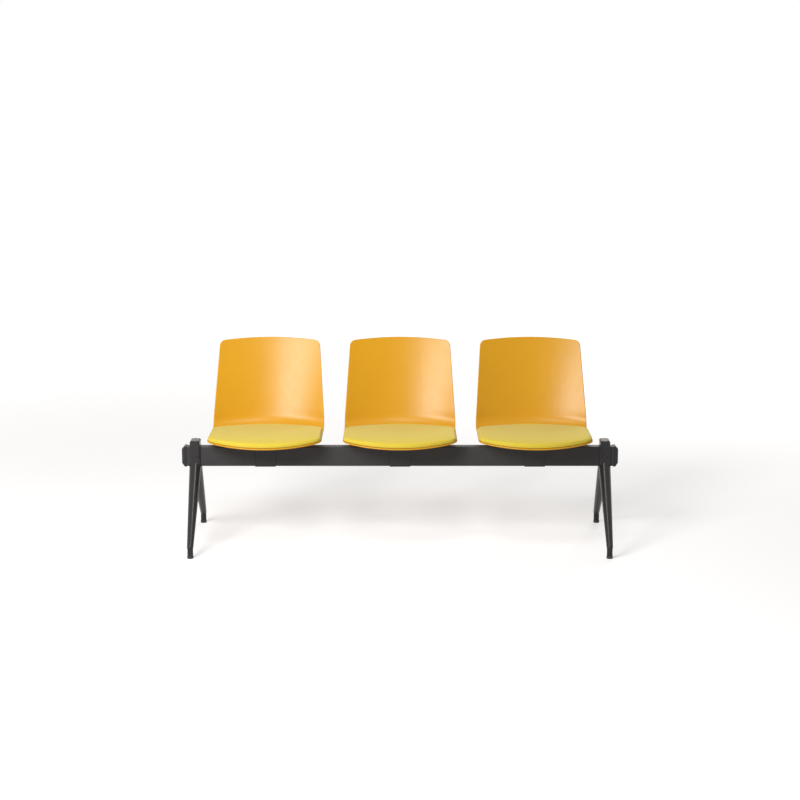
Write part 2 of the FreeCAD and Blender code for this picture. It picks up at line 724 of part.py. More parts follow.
def strap_fasteners(seat, x):
    """Hexagon screws up through the ears, and the nuts on top of the seat support."""
    screws = []
    nuts = []
    head_low = f"({BEAM_TOP} - strap_plate - strap_screw_head_height)"
    tip = f"({SUPPORT_TOP} + strap_nut_height + screw_tail)"
    for index, (hole_x, hole_y) in enumerate(STRAP_SCREWS, start=1):
        name = f"strap_screw_{seat}_{index}"
        at = {"x": hole_x, "y": hole_y}
        head = hexagon(f"{name}_head", "strap_screw_head", "strap_screw_head_height", z=head_low, **at)
        shank = rod(f"{name}_shank", "strap_screw_radius", f"{tip} - {head_low}", z=head_low, **at)
        screws.append(join(name, [head, shank]))
        name = f"strap_nut_{seat}_{index}"
        blank = hexagon(f"{name}_blank", "strap_screw_head", "strap_nut_height", z=SUPPORT_TOP, **at)
        thread = rod(f"{name}_thread", "strap_screw_radius", "strap_nut_height", z=SUPPORT_TOP, **at)
        nuts.append(carve(name, blank, [thread]))
    node(group(f"strap_screws_{seat}", screws), f"strap_screws_{seat}", x)
    node(group(f"strap_nuts_{seat}", nuts), f"strap_nuts_{seat}", x)


def shell_fasteners(seat, x):
    """Pan-head screws up through the seat support, and the inserts in the bosses."""
    screws = []
    inserts = []
    head_low = f"({BEAM_TOP} - shell_screw_head_height)"
    tip = f"({SUPPORT_TOP} + boss_insert_length)"
    for index, (hole_x, hole_y) in enumerate(SHELL_SCREWS, start=1):
        at = {"x": hole_x, "y": hole_y}
        name = f"shell_screw_{seat}_{index}"
        head = rod(f"{name}_head", "shell_screw_head", "shell_screw_head_height", z=head_low, **at)
        shank = rod(f"{name}_shank", "shell_screw_radius", f"{tip} - {head_low}", z=head_low, **at)
        wrench = ("shell_screw_radius * 2 / 3", "shell_screw_head_height / 2")
        socket = hexagon(f"{name}_socket", *wrench, z=head_low, **at)
        screws.append(carve(name, join(f"{name}_whole", [head, shank]), [socket]))
        name = f"boss_insert_{seat}_{index}"
        sleeve = rod(f"{name}_sleeve", "boss_insert_radius", "boss_insert_length", z=SUPPORT_TOP, **at)
        thread = rod(f"{name}_thread", "shell_screw_radius", "boss_insert_length", z=SUPPORT_TOP, **at)
        inserts.append(carve(name, sleeve, [thread]))
    node(group(f"shell_screws_{seat}", screws), f"shell_screws_{seat}", x)
    node(group(f"boss_inserts_{seat}", inserts), f"boss_inserts_{seat}", x)


# The sitting surface and what follows it


def vector(x, y, z=0.0):
    """Point in space."""
    return FreeCAD.Vector(x, y, z)


def arc(start, middle, end):
    """Arc edge through three points."""
    return Part.Arc(start, middle, end).toShape()


def straight(start, end):
    """Straight edge between two points."""
    return Part.LineSegment(start, end).toShape()


def eased(value, start, end):
    """Share that runs smoothly from 0 at start to 1 at end."""
    part = min(1.0, max(0.0, (value - start) / (end - start)))
    return part * part * (3 - 2 * part)


def sitting_profile():
    """Stations of the seat's middle profile: way along it, place, and the shift of the side edge there.

    The profile runs from beyond the lip along an arc, then straight to the bend, round it and straight up
    the back, beyond its top. The sides rise over the seat and come forward at the back.
    """
    slope = math.radians(size("seat_slope"))
    recline = math.radians(size("back_recline"))
    bend = size("bend_radius")
    droop = size("lip_radius")
    beam_top = size("beam_bottom") + size("beam_height")
    knee_y = size("knee_y")
    knee_z = beam_top + size("knee_rise")
    turned = math.pi / 2 - recline + slope
    tangent = bend * math.tan(turned / 2)
    lip_y = -size("lip_start")
    lip_z = knee_z + (knee_y - lip_y) * math.tan(slope)
    bend_y = knee_y - tangent * math.cos(slope)
    bend_z = knee_z + tangent * math.sin(slope)
    back_y = knee_y + tangent * math.sin(recline)
    back_z = knee_z + tangent * math.cos(recline)
    spare = size("profile_spare")
    lip_end = size("lip_reach") + spare - size("lip_start")
    seat_end = lip_end + (bend_y - lip_y) / math.cos(slope)
    bend_end = seat_end + bend * turned
    top_end = bend_end + (beam_top + size("back_rise") + spare - back_z) / math.cos(recline)

    def place_at(way):
        if way < lip_end:
            angle = (lip_end - way) / droop - slope
            y = lip_y - droop * (math.sin(angle) + math.sin(slope))
            return y, lip_z - droop * (math.cos(slope) - math.cos(angle))
        if way < seat_end:
            return lip_y + (way - lip_end) * math.cos(slope), lip_z - (way - lip_end) * math.sin(slope)
        if way < bend_end:
            angle = (way - seat_end) / bend - slope
            y = bend_y + bend * (math.sin(slope) + math.sin(angle))
            return y, bend_z + bend * (math.cos(slope) - math.cos(angle))
        rest = way - bend_end
        return back_y + rest * math.sin(recline), back_z + rest * math.cos(recline)

    stations = []
    count = round(top_end / size("profile_step"))
    for step in range(count + 1):
        way = top_end * step / count
        sweep_end = bend_end + size("sweep_start") / 3
        forward = size("sweep_low") * eased(way, seat_end - size("sweep_start"), sweep_end)
        forward -= (size("sweep_low") - size("sweep_top")) * max(0.0, way - bend_end) / (top_end - bend_end)
        rise = size("seat_dish") * eased(way, 0.0, lip_end * 1.5) * (1 - eased(way, seat_end, bend_end))
        y, z = place_at(way)
        stations.append((way, vector(0.0, y, z), vector(0.0, -forward, rise)))
    return stations


def sitting_surface():
    """Surface whose profile shifts across the seat with the square of the distance from its middle."""
    stations = sitting_profile()
    ways = [way for way, place, shift in stations]
    middle = Part.BSplineCurve()
    middle.interpolate(Points=[place for way, place, shift in stations], Parameters=ways)
    side = Part.BSplineCurve()
    side.interpolate(Points=[place + shift for way, place, shift in stations], Parameters=ways)
    pairs = [(start, end - start) for start, end in zip(middle.getPoles(), side.getPoles())]
    reach = size("shell_half_width") + size("profile_spare")
    share = (reach / size("shell_half_width")) ** 2
    poles = []
    for across, sense in ((-1, 1), (0, -1), (1, 1)):
        aside = vector(across * reach, 0.0)
        poles.append([place + shift * (share * sense) + aside for place, shift in pairs])
    multiplicities = middle.getMultiplicities()
    surface = Part.BSplineSurface()
    surface.buildFromPolesMultsKnots(
        poles, [3, 3], multiplicities, [-reach, reach], middle.getKnots(), False, False, 2, middle.Degree
    )
    return surface


SURFACE = sitting_surface()


def shell_layer(wall):
    """Solid of even wall under the whole sitting surface."""
    return SURFACE.toShape().makeOffsetShape(-wall, 1e-3, join=2, fill=True)


def seat_sheet(height):
    """Sitting surface raised by a height."""
    sheet = SURFACE.toShape()
    sheet.translate(vector(0.0, 0.0, height))
    return sheet


def seat_level(x, y):
    """Height of the sitting surface above a place on the seat."""
    upright = Part.Line(vector(x, y), vector(x, y, 1.0))
    points = upright.intersectCS(SURFACE)[0]
    return min(point.Z for point in points)


class Corner:
    """Round corner between a straight side, at a half width and leaning by an angle, and a large arc.

    The side goes through (half_width, foot) and leans inwards by lean, in radians. The large arc has its
    centre on the middle line at hub. sense is 1 where the arc closes the outline at its high end.
    """

    def __init__(self, half_width, foot, lean, hub, large, radius, sense):
        inner_x = half_width - radius * math.cos(lean)
        inner_y = foot - sense * radius * math.sin(lean)
        along = (-math.sin(lean), sense * math.cos(lean))
        rise = inner_y - hub
        middle = inner_x * along[0] + rise * along[1]
        rest = inner_x**2 + rise**2 - (large - radius) ** 2
        travel = math.sqrt(middle**2 - rest) - middle
        self.x = inner_x + travel * along[0]
        self.y = inner_y + travel * along[1]
        self.radius = radius
        start = sense * lean
        end = math.atan2(self.y - hub, self.x)
        self.on_side = self.at(start)
        self.halfway = self.at((start + end) / 2)
        self.on_arc = self.at(end)

    def at(self, angle):
        """Point of the corner at an angle from the side direction."""
        return (self.x + self.radius * math.cos(angle), self.y + self.radius * math.sin(angle))


def bow_radius(fall, half_width):
    """Radius of an arc that falls by so much at a half width."""
    return (half_width**2 + fall**2) / (2 * fall)


def mirrored_outline(corners_and_arcs, lift):
    """Closed wire out of its right half.

    The right half is a list of stretches, each with two or three points, from the middle line round to the
    middle line again. lift turns a flat point into a point in space.
    """
    edges = []
    for mirror in (1, -1):
        for points in corners_and_arcs:
            spots = [lift(mirror * x, y) for x, y in points]
            edges.append(straight(*spots) if len(spots) == 2 else arc(*spots))
    return Part.Wire(Part.__sortEdges__(edges))


def half_arc(hub, large, end, sense):
    """Right half of a large arc, from the middle line to its end."""
    angle = math.atan2(end[1] - hub, end[0])
    halfway = (angle + sense * math.pi / 2) / 2
    return ((0.0, hub + sense * large), (large * math.cos(halfway), hub + large * math.sin(halfway)), end)


def seat_outline(inset, rear=None):
    """Outline of the seat from above, drawn in by inset. Without a rear curve it runs on behind the back."""
    half_width = size("shell_half_width") - inset
    large = bow_radius(size("lip_bow"), size("lip_bow_x"))
    hub = large - size("lip_reach")
    front = Corner(half_width, 0.0, 0.0, hub, large - inset, size("lip_corner") - inset, -1)
    stretches = [half_arc(hub, large - inset, front.on_arc, -1), (front.on_arc, front.halfway, front.on_side)]
    if rear is None:
        far = size("knee_y") + size("back_rise")
        stretches += [(front.on_side, (half_width, far)), ((half_width, far), (0.0, far))]
    else:
        rear_large, rear_hub, rear_corner = rear
        back = Corner(half_width, 0.0, 0.0, rear_hub, rear_large - inset, rear_corner - inset, 1)
        stretches += [
            (front.on_side, back.on_side),
            (back.on_side, back.halfway, back.on_arc),
            tuple(reversed(half_arc(rear_hub, rear_large - inset, back.on_arc, 1))),
        ]
    return stretches


def shell_silhouette():
    """Right half of the shell's outline from the front: upright side, leaning side, corner and crown."""
    beam_top = size("beam_bottom") + size("beam_height")
    half_width = size("shell_half_width")
    lean = math.radians(size("side_taper"))
    bend = size("side_bend_radius")
    start = beam_top + size("side_bend_rise")

    def side_at(angle):
        return (half_width - bend * (1 - math.cos(angle)), start + bend * math.sin(angle))

    large = bow_radius(size("crown_drop"), size("crown_x"))
    hub = beam_top + size("back_rise") - large
    leaning = side_at(lean)
    corner = Corner(*leaning, lean, hub, large, size("top_corner"), 1)
    floor = size("beam_bottom")
    return [
        ((0.0, floor), (half_width, floor)),
        ((half_width, floor), (half_width, start)),
        ((half_width, start), side_at(lean / 2), leaning),
        (leaning, corner.on_side),
        (corner.on_side, corner.halfway, corner.on_arc),
        tuple(reversed(half_arc(hub, large, corner.on_arc, 1))),
    ]


def raised(stretches, height):
    """Upright prism over an outline seen from above."""
    return Part.Face(mirrored_outline(stretches, vector)).extrude(vector(0, 0, height))


def shell_form():
    """Moulded shell: the layer under the sitting surface, trimmed by both outlines, with rounded edges."""
    wall = size("shell_wall")
    height = size("beam_bottom") + size("beam_height") + size("back_rise") * 2
    from_above = raised(seat_outline(0.0), height)
    depth = size("lip_reach") * 2

    def on_front_plane(x, z):
        return vector(x, -depth, z)

    silhouette = Part.Face(mirrored_outline(shell_silhouette(), on_front_plane))
    from_front = silhouette.extrude(vector(0, 2 * depth + size("knee_y") + size("back_rise"), 0))
    trimmed = shell_layer(wall).common(from_above.common(from_front)).Solids[0]
    faces = sorted(trimmed.Faces, key=lambda face: face.Area)[-2:]
    rim = [edge for face in faces for edge in face.OuterWire.Edges]
    rounded = trimmed.makeFillet(min(size("shell_rim"), 0.4 * wall), rim)
    foot = number_of(SUPPORT_TOP)
    insert = (size("boss_insert_radius"), size("boss_insert_length"))
    bosses = []
    cuts = []
    for formula_x, formula_y in SHELL_SCREWS:
        x = number_of(formula_x)
        y = number_of(formula_y)
        top = seat_level(x, y) - wall / 2
        bosses.append(Part.makeCylinder(size("boss_radius"), top - foot, vector(x, y, foot)))
        cuts.append(Part.makeCylinder(*insert, vector(x, y, foot)))
    recess = size("pad_screw_head") + size("screw_hole_fit")
    hole = size("pad_screw_radius") + size("screw_hole_fit")
    for x, y, seat in pad_screw_seats():
        cuts.append(Part.makeCylinder(recess, wall, vector(x, y, seat - wall)))
        cuts.append(Part.makeCylinder(hole, wall * 2, vector(x, y, seat)))
    return rounded.fuse(bosses).cut(cuts).removeSplitter()


def pad_screw_seats():
    """Places of the pad screws, with the height at which each head bears against the shell."""
    places = []
    for formula_x, formula_y in PAD_SCREWS:
        x = number_of(formula_x)
        y = number_of(formula_y)
        places.append((x, y, seat_level(x, y) - size("shell_wall") + size("pad_screw_sink")))
    return places


def pad_rear():
    """Radius, centre and corner radius of the pad's rear edge."""
    large = bow_radius(size("pad_rear_bow"), size("pad_rear_bow_x"))
    return large + size("pad_inset"), size("pad_rear_y") - large, size("pad_rear_corner") + size("pad_inset")


def board_form(grow, thickness):
    """Board in the pad, grown by a clearance where its pocket is cut."""
    outline = seat_outline(size("pad_inset") + size("board_inset") - grow, pad_rear())
    height = size("beam_bottom") + size("beam_height") + size("back_rise")
    return seat_sheet(size("pad_fit")).common(raised(outline, height)).extrude(vector(0.0, 0.0, thickness))


def pad_board_form():
    """Stiff board with the four holes that the pad screws bite in."""
    board = board_form(0.0, size("board_plate"))
    radius = size("pad_screw_radius") + size("pad_screw_fit")
    holes = [
        Part.makeCylinder(radius, size("shell_wall") * 2, vector(x, y, seat))
        for x, y, seat in pad_screw_seats()
    ]
    return board.cut(holes)


def pad_ends(x):
    """Front and rear end of the pad at a distance x from the seat's middle."""
    inset = size("pad_inset")
    half_width = size("shell_half_width") - inset
    large = bow_radius(size("lip_bow"), size("lip_bow_x"))
    front = (large - inset, large - size("lip_reach"), size("lip_corner") - inset, -1)
    rear_large, rear_hub, rear_corner = pad_rear()
    rear = (rear_large - inset, rear_hub, rear_corner - inset, 1)
    ends = []
    for radius, hub, rounding, sense in (front, rear):
        corner = Corner(half_width, 0.0, 0.0, hub, radius, rounding, sense)
        if abs(x) <= corner.on_arc[0]:
            ends.append(hub + sense * math.sqrt(radius**2 - x**2))
        else:
            ends.append(corner.y + sense * math.sqrt(max(0.0, rounding**2 - (abs(x) - corner.x) ** 2)))
    return ends


def pad_section(x, fullness):
    """Section of the pad along the seat, fullness running from 0 at the side to 1 in the middle."""
    front, rear = pad_ends(x)
    top = size("pad_side") + (size("pad_crown") - size("pad_side")) * fullness
    foot = size("pad_side") / 2 * (1 - fullness) - size("pad_tuck") * 1.5 * fullness
    roll = (top - foot) * 0.7
    tuck = size("pad_tuck") * fullness
    middle = (front + rear) / 2
    front_level = seat_level(x, front + roll)
    middle_level = seat_level(x, middle)
    rear_level = seat_level(x, rear - roll)
    waist = foot + (top - foot) * 0.55
    shoulder = top - (top - foot) * 0.08

    def spot(y, z):
        return vector(x, y, z)

    front_foot = spot(front + tuck, front_level + foot)
    front_top = spot(front + roll, front_level + shoulder)
    rear_top = spot(rear - roll, rear_level + shoulder)
    rear_foot = spot(rear - tuck, rear_level + foot)
    return Part.Wire(
        [
            arc(front_foot, spot(front, front_level + waist), front_top),
            arc(front_top, spot(middle, middle_level + top), rear_top),
            arc(rear_top, spot(rear, rear_level + waist), rear_foot),
            arc(rear_foot, spot(middle, middle_level + foot), front_foot),
        ]
    )


def seat_pad_form():
    """Crowned pad: sections from side to side, seated on the shell and hollowed for its board."""
    half_width = size("shell_half_width") - size("pad_inset")
    steps = 6
    sections = []
    for step in range(-steps, steps + 1):
        angle = step / steps * math.pi / 2
        fullness = math.sqrt(max(0.0, math.cos(angle)))
        sections.append(pad_section(half_width * math.sin(angle), fullness))
    whole = Part.makeLoft(sections, True, False)
    seat = seat_sheet(size("pad_fit")).extrude(vector(0.0, 0.0, -size("shell_wall") * 3))
    pocket_form = board_form(size("pad_fit"), size("board_plate") + size("pad_fit"))
    return whole.cut([seat, pocket_form])


def pad_screws_form():
    """Four pan-head screws from under the shell up into the board."""
    screws = []
    reach = size("shell_wall") - size("pad_screw_sink") + size("pad_fit") + size("board_plate") / 2
    for x, y, seat in pad_screw_seats():
        head_height = size("pad_screw_head_height")
        head = Part.makeCylinder(size("pad_screw_head"), head_height, vector(x, y, seat - head_height))
        shank = Part.makeCylinder(size("pad_screw_radius"), reach, vector(x, y, seat))
        screws.append(head.fuse(shank).removeSplitter())
    return Part.makeCompound(screws)


def free_form(name, shape, x):
    """Sub-part with a free form, carried to its seat."""
    item = doc.addObject("Part::Feature", name)
    item.Shape = shape
    return node(item, name, x)


# The bench

node(beam_tube(), "beam_tube")
for side, sign in SIDES:
    node(end_cap(side, sign), f"end_cap_{side}")
    leg_x = f"{sign} * ({BEAM_END} - clamp_inset)"
    leg_frame(side, leg_x)
    clamp_cap(side, leg_x)
    clamp_screws(side, leg_x)
    for depth, depth_sign in DEPTHS:
        levelling_foot(side, depth, leg_x, f"{depth_sign} * foot_spread")

shell_shape = shell_form()
board_shape = pad_board_form()
pad_shape = seat_pad_form()
pad_screws_shape = pad_screws_form()
for seat, sign in SEATS:
    seat_x = f"{sign} * seat_pitch"
    beam_strap(seat, seat_x)
    seat_support(seat, seat_x)
    strap_fasteners(seat, seat_x)
    shell_fasteners(seat, seat_x)
    free_form(f"seat_shell_{seat}", shell_shape, seat_x)
    free_form(f"pad_board_{seat}", board_shape, seat_x)
    free_form(f"seat_pad_{seat}", pad_shape, seat_x)
    free_form(f"pad_screws_{seat}", pad_screws_shape, seat_x)

doc.recompute()

# Checks, then one file for each sub-part

for item in doc.Objects:
    assert "Invalid" not in item.State and "Error" not in item.State, f"{item.Name}: {item.State}"

os.makedirs("parts", exist_ok=True)
for item in nodes:
    shape = item.Shape
    assert not shape.isNull() and shape.isValid(), f"{item.Label} has no valid shape"
    assert shape.Solids, f"{item.Label} has no solid"
    shape.exportStep(f"parts/{item.Label}.step")
    print(f"{item.Label}: {len(shape.Solids)} solid(s), {shape.Volume / 1000:.1f} cm3")

whole = Part.makeCompound([item.Shape for item in nodes])
box = whole.optimalBoundingBox()
for axis in "XYZ":
    print(f"box {axis} {getattr(box, axis + 'Min'):.2f} to {getattr(box, axis + 'Max'):.2f}")
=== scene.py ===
"""Three-place bench on a beam: its seat pads, its finishes and a plain studio, in metres.

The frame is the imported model's: X along the beam, Y to the rear, Z up from the floor.
"""

import json
import logging
import math
from dataclasses import dataclass, field
from enum import Enum

import bpy
import numpy as np
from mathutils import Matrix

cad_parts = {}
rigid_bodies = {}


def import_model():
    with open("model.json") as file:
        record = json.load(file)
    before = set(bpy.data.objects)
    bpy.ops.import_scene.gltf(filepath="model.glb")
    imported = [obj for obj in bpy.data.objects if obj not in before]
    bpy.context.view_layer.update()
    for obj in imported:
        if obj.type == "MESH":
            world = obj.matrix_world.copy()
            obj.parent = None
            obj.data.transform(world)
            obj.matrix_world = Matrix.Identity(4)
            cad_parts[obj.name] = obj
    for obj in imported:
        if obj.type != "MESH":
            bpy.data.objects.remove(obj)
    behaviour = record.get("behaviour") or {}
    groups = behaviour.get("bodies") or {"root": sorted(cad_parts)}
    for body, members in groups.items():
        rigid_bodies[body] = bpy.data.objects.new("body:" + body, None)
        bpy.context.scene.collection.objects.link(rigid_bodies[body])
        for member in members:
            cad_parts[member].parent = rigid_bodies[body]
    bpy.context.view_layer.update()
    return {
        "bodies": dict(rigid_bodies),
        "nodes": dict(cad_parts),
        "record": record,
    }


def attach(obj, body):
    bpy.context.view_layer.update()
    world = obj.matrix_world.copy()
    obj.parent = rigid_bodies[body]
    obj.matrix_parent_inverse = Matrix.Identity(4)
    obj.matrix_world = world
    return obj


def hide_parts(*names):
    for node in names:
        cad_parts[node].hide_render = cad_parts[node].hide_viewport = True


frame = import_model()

log = logging.getLogger("bench")

Colour = tuple[float, float, float]
Place = tuple[float, float, float]

BEAM_AXIS_Y = -0.05895
BEAM_TOP = 0.390


class Seat(Enum):
    """Middle of each seat along the beam."""

    LEFT = -0.540
    MIDDLE = 0.0
    RIGHT = 0.540


class Weave(Enum):
    """Directions of the two sets of threads in a plain weave."""

    WARP = "X"
    WEFT = "Y"


# Node graphs


class Graph:
    """Material whose nodes are added and linked one after another."""

    def __init__(self, name: str) -> None:
        """Start an empty material with an output and a shader.

        Args:
            name: the material's name.
        """
        self.material = bpy.data.materials.new(name)
        self.material.use_nodes = True
        self.nodes = self.material.node_tree.nodes
        self.nodes.clear()
        self.output = self.nodes.new("ShaderNodeOutputMaterial")
        self.shader = self.nodes.new("ShaderNodeBsdfPrincipled")
        self.link(self.shader.outputs[0], self.output.inputs["Surface"])

    def link(self, source: bpy.types.NodeSocket, target: bpy.types.NodeSocket) -> None:
        """Join an output to an input."""
        self.material.node_tree.links.new(source, target)

    def add(self, kind: str, **values: object) -> bpy.types.Node:
        """Add a node and set its inputs or properties.

        Args:
            kind: node type without the leading ShaderNode.
            values: properties of the node, or inputs by name with underscores for spaces. A socket is linked.

        Returns:
            The new node.
        """
        node = self.nodes.new(f"ShaderNode{kind}")
        for name, value in values.items():
            if hasattr(node, name):
                setattr(node, name, value)
                continue
            socket = node.inputs[name.replace("_", " ")]
            if isinstance(value, bpy.types.NodeSocket):
                self.link(value, socket)
            else:
                socket.default_value = value
        return node

    def place(self, scale: Place = (1.0, 1.0, 1.0)) -> bpy.types.NodeSocket:
        """Object coordinates, stretched by a factor along each axis."""
        coordinates = self.add("TexCoord").outputs["Object"]
        mapping = self.add("Mapping", Vector=coordinates)
        mapping.inputs["Scale"].default_value = scale
        return mapping.outputs[0]

    def noise(self, where: bpy.types.NodeSocket, scale: float, detail: float = 3.0) -> bpy.types.NodeSocket:
        """Noise value from 0 to 1 at a number of patches per metre."""
        return self.add("TexNoise", Vector=where, Scale=scale, Detail=detail).outputs["Fac"]

    def span(self, value: bpy.types.NodeSocket, low: float, high: float) -> bpy.types.NodeSocket:
        """Value whose middle range is spread from low to high."""
        ranged = self.add("MapRange", Value=value)
        for name, number in (("From Min", 0.3), ("From Max", 0.7), ("To Min", low), ("To Max", high)):
            ranged.inputs[name].default_value = number
        return ranged.outputs[0]

    def blend(self, share: bpy.types.NodeSocket, first: Colour, second: Colour) -> bpy.types.NodeSocket:
        """Colour between two colours, by a share from 0 to 1."""
        ramp = self.add("ValToRGB", Fac=share)
        ramp.color_ramp.elements[0].color = (*first, 1.0)
        ramp.color_ramp.elements[1].color = (*second, 1.0)
        return ramp.outputs["Color"]

    def relief(
        self, height: bpy.types.NodeSocket, depth: float, under: bpy.types.NodeSocket | None = None
    ) -> bpy.types.NodeSocket:
        """Bump of a depth in metres, over an earlier bump if one is given."""
        bump = self.add("Bump", Height=height, Distance=depth, Strength=1.0)
        if under is not None:
            self.link(under, bump.inputs["Normal"])
        return bump.outputs["Normal"]


def shaded(colour: Colour, factor: float) -> Colour:
    """Colour made lighter or darker by a factor."""
    return tuple(min(1.0, channel * factor) for channel in colour)


def seen_directly(tree: bpy.types.NodeTree) -> bpy.types.NodeSocket:
    """Light path test: 1 for what the camera sees, directly, in gloss or through glass, and 0 for the rest.

    Args:
        tree: node tree of a material or a world.

    Returns:
        The socket that holds the result.
    """
    path = tree.nodes.new("ShaderNodeLightPath")
    total = path.outputs["Is Camera Ray"]
    for name in ("Is Glossy Ray", "Is Transmission Ray"):
        summed = tree.nodes.new("ShaderNodeMath")
        summed.operation = "ADD"
        summed.use_clamp = True
        tree.links.new(total, summed.inputs[0])
        tree.links.new(path.outputs[name], summed.inputs[1])
        total = summed.outputs[0]
    return total


# Finishes


@dataclass(frozen=True)
class MouldedPlastic:
    """Injection-moulded plastic with a fine spark-eroded grain."""

    name: str
    colour: Colour
    roughness: float = 0.42
    roughness_spread: float = 0.03
    tone_spread: float = 0.04
    tones_per_metre: float = 6.0
    patches_per_metre: float = 45.0
    grain_per_metre: float = 1600.0
    grain_depth: float = 0.000012
    specular: float = 0.5

    def material(self) -> bpy.types.Material:
        """Material with grain in the relief and slow changes of tone and gloss."""
        graph = Graph(self.name)
        where = graph.place()
        darker = shaded(self.colour, 1 - self.tone_spread)
        lighter = shaded(self.colour, 1 + self.tone_spread)
        tones = graph.noise(where, self.tones_per_metre)
        graph.link(graph.blend(tones, darker, lighter), graph.shader.inputs["Base Color"])
        patches = graph.noise(where, self.patches_per_metre)
        low = self.roughness - self.roughness_spread
        high = self.roughness + self.roughness_spread
        graph.link(graph.span(patches, low, high), graph.shader.inputs["Roughness"])
        grain = graph.noise(where, self.grain_per_metre, 2.0)
        graph.link(graph.relief(grain, self.grain_depth), graph.shader.inputs["Normal"])
        graph.shader.inputs["Specular IOR Level"].default_value = self.specular
        return graph.material


@dataclass(frozen=True)
class PowderCoat:
    """Baked powder coat: a slightly wavy skin with a fine texture, over steel or a casting."""

    name: str
    colour: Colour
    roughness: float = 0.45
    roughness_spread: float = 0.04
    tone_spread: float = 0.08
    tones_per_metre: float = 9.0
    patches_per_metre: float = 60.0
    waves_per_metre: float = 260.0
    wave_depth: float = 0.00006
    grain_per_metre: float = 1900.0
    grain_depth: float = 0.00001
    specular: float = 0.18

    def material(self) -> bpy.types.Material:
        """Material with orange-peel waves, grain and faint changes of tone."""
        graph = Graph(self.name)
        where = graph.place()
        darker = shaded(self.colour, 1 - self.tone_spread)
        lighter = shaded(self.colour, 1 + self.tone_spread)
        tones = graph.noise(where, self.tones_per_metre)
        graph.link(graph.blend(tones, darker, lighter), graph.shader.inputs["Base Color"])
        low = self.roughness - self.roughness_spread
        high = self.roughness + self.roughness_spread
        patches = graph.noise(where, self.patches_per_metre)
        graph.link(graph.span(patches, low, high), graph.shader.inputs["Roughness"])
        waves = graph.relief(graph.noise(where, self.waves_per_metre, 1.0), self.wave_depth)
        grain = graph.relief(graph.noise(where, self.grain_per_metre, 2.0), self.grain_depth, waves)
        graph.link(grain, graph.shader.inputs["Normal"])
        graph.shader.inputs["Specular IOR Level"].default_value = self.specular
        return graph.material


@dataclass(frozen=True)
class WovenCloth:
    """Plain-woven upholstery cloth, its threads laid along the piece's own map in metres."""

    name: str
    colour: Colour
    # Darker colour of the cloth: painted shade in the hollows between the threads, and the low end of the
    # slubs' random tone.
    hollow_shade_and_slubs: Colour
    sheen_tint: Colour
    thread_pitch: float = 0.0011
    thread_depth: float = 0.00016
    bands_per_scale: float = 3.18
    slubs_per_metre: float = 320.0
    folds_per_metre: float = 28.0
    fold_depth: float = 0.0004
    sheen: float = 0.35
    roughness: float = 0.85

    def threads(self, graph: Graph, where: bpy.types.NodeSocket, direction: Weave) -> bpy.types.NodeSocket:
        """Height of one set of threads: a sine across them."""
        wave = graph.add("TexWave", bands_direction=direction.value, wave_profile="SIN", Vector=where)
        wave.inputs["Scale"].default_value = 1 / self.thread_pitch / self.bands_per_scale
        wave.inputs["Distortion"].default_value = 0.35
        wave.inputs["Detail"].default_value = 1.0
        wave.inputs["Detail Scale"].default_value = 0.6
        return wave.outputs["Fac"]

    def material(self) -> bpy.types.Material:
        """Material with both sets of threads in relief, a colour painted darker where the threads lie low
        (painted shade in the weave's hollows), slubs, and a soft sheen.
        """
        graph = Graph(self.name)
        where = graph.add("UVMap", uv_map=SeatPad.MAP).outputs["UV"]
        warp = self.threads(graph, where, Weave.WARP)
        weft = self.threads(graph, where, Weave.WEFT)
        crossing = graph.add("Math", operation="MULTIPLY")
        graph.link(warp, crossing.inputs[0])
        graph.link(weft, crossing.inputs[1])
        slubs = graph.noise(where, self.slubs_per_metre, 4.0)
        mixed = graph.add("Math", operation="MULTIPLY_ADD")
        graph.link(crossing.outputs[0], mixed.inputs[0])
        mixed.inputs[1].default_value = 0.45
        graph.link(slubs, mixed.inputs[2])
        # Painted shade: the colour falls to the darker one where the threads lie low between their crossings;
        # the slubs add a random change of tone.
        graph.link(graph.blend(mixed.outputs[0], self.hollow_shade_and_slubs, self.colour), graph.shader.inputs["Base Color"])
        height = graph.relief(crossing.outputs[0], self.thread_depth)
        folds = graph.relief(graph.noise(where, self.folds_per_metre, 2.0), self.fold_depth, height)
        graph.link(folds, graph.shader.inputs["Normal"])
        graph.shader.inputs["Roughness"].default_value = self.roughness
        graph.shader.inputs["Specular IOR Level"].default_value = 0.25
        graph.shader.inputs["Sheen Weight"].default_value = self.sheen
        graph.shader.inputs["Sheen Roughness"].default_value = 0.45
        graph.shader.inputs["Sheen Tint"].default_value = (*self.sheen_tint, 1.0)
        return graph.material


@dataclass(frozen=True)
class BareMetal:
    """Zinc-plated or turned metal with fine lathe marks."""

    name: str
    colour: Colour
    roughness: float = 0.32
    mark_scale: Place = (40.0, 40.0, 2600.0)
    mark_depth: float = 0.00001

    def marks(self, graph: Graph) -> bpy.types.NodeSocket:
        """Relief of faint rings round Z."""
        return graph.relief(graph.noise(graph.place(self.mark_scale), 1.0, 1.0), self.mark_depth)

    def material(self) -> bpy.types.Material:
        """Metal with its marks and a mottled gloss."""
        graph = Graph(self.name)
        where = graph.place()
        tone = graph.blend(graph.noise(where, 120.0), shaded(self.colour, 0.85), shaded(self.colour, 1.05))
        graph.link(tone, graph.shader.inputs["Base Color"])
        gloss = graph.span(graph.noise(where, 400.0), self.roughness - 0.06, self.roughness + 0.08)
        graph.link(gloss, graph.shader.inputs["Roughness"])
        graph.link(self.marks(graph), graph.shader.inputs["Normal"])
        graph.shader.inputs["Metallic"].default_value = 1.0
        return graph.material


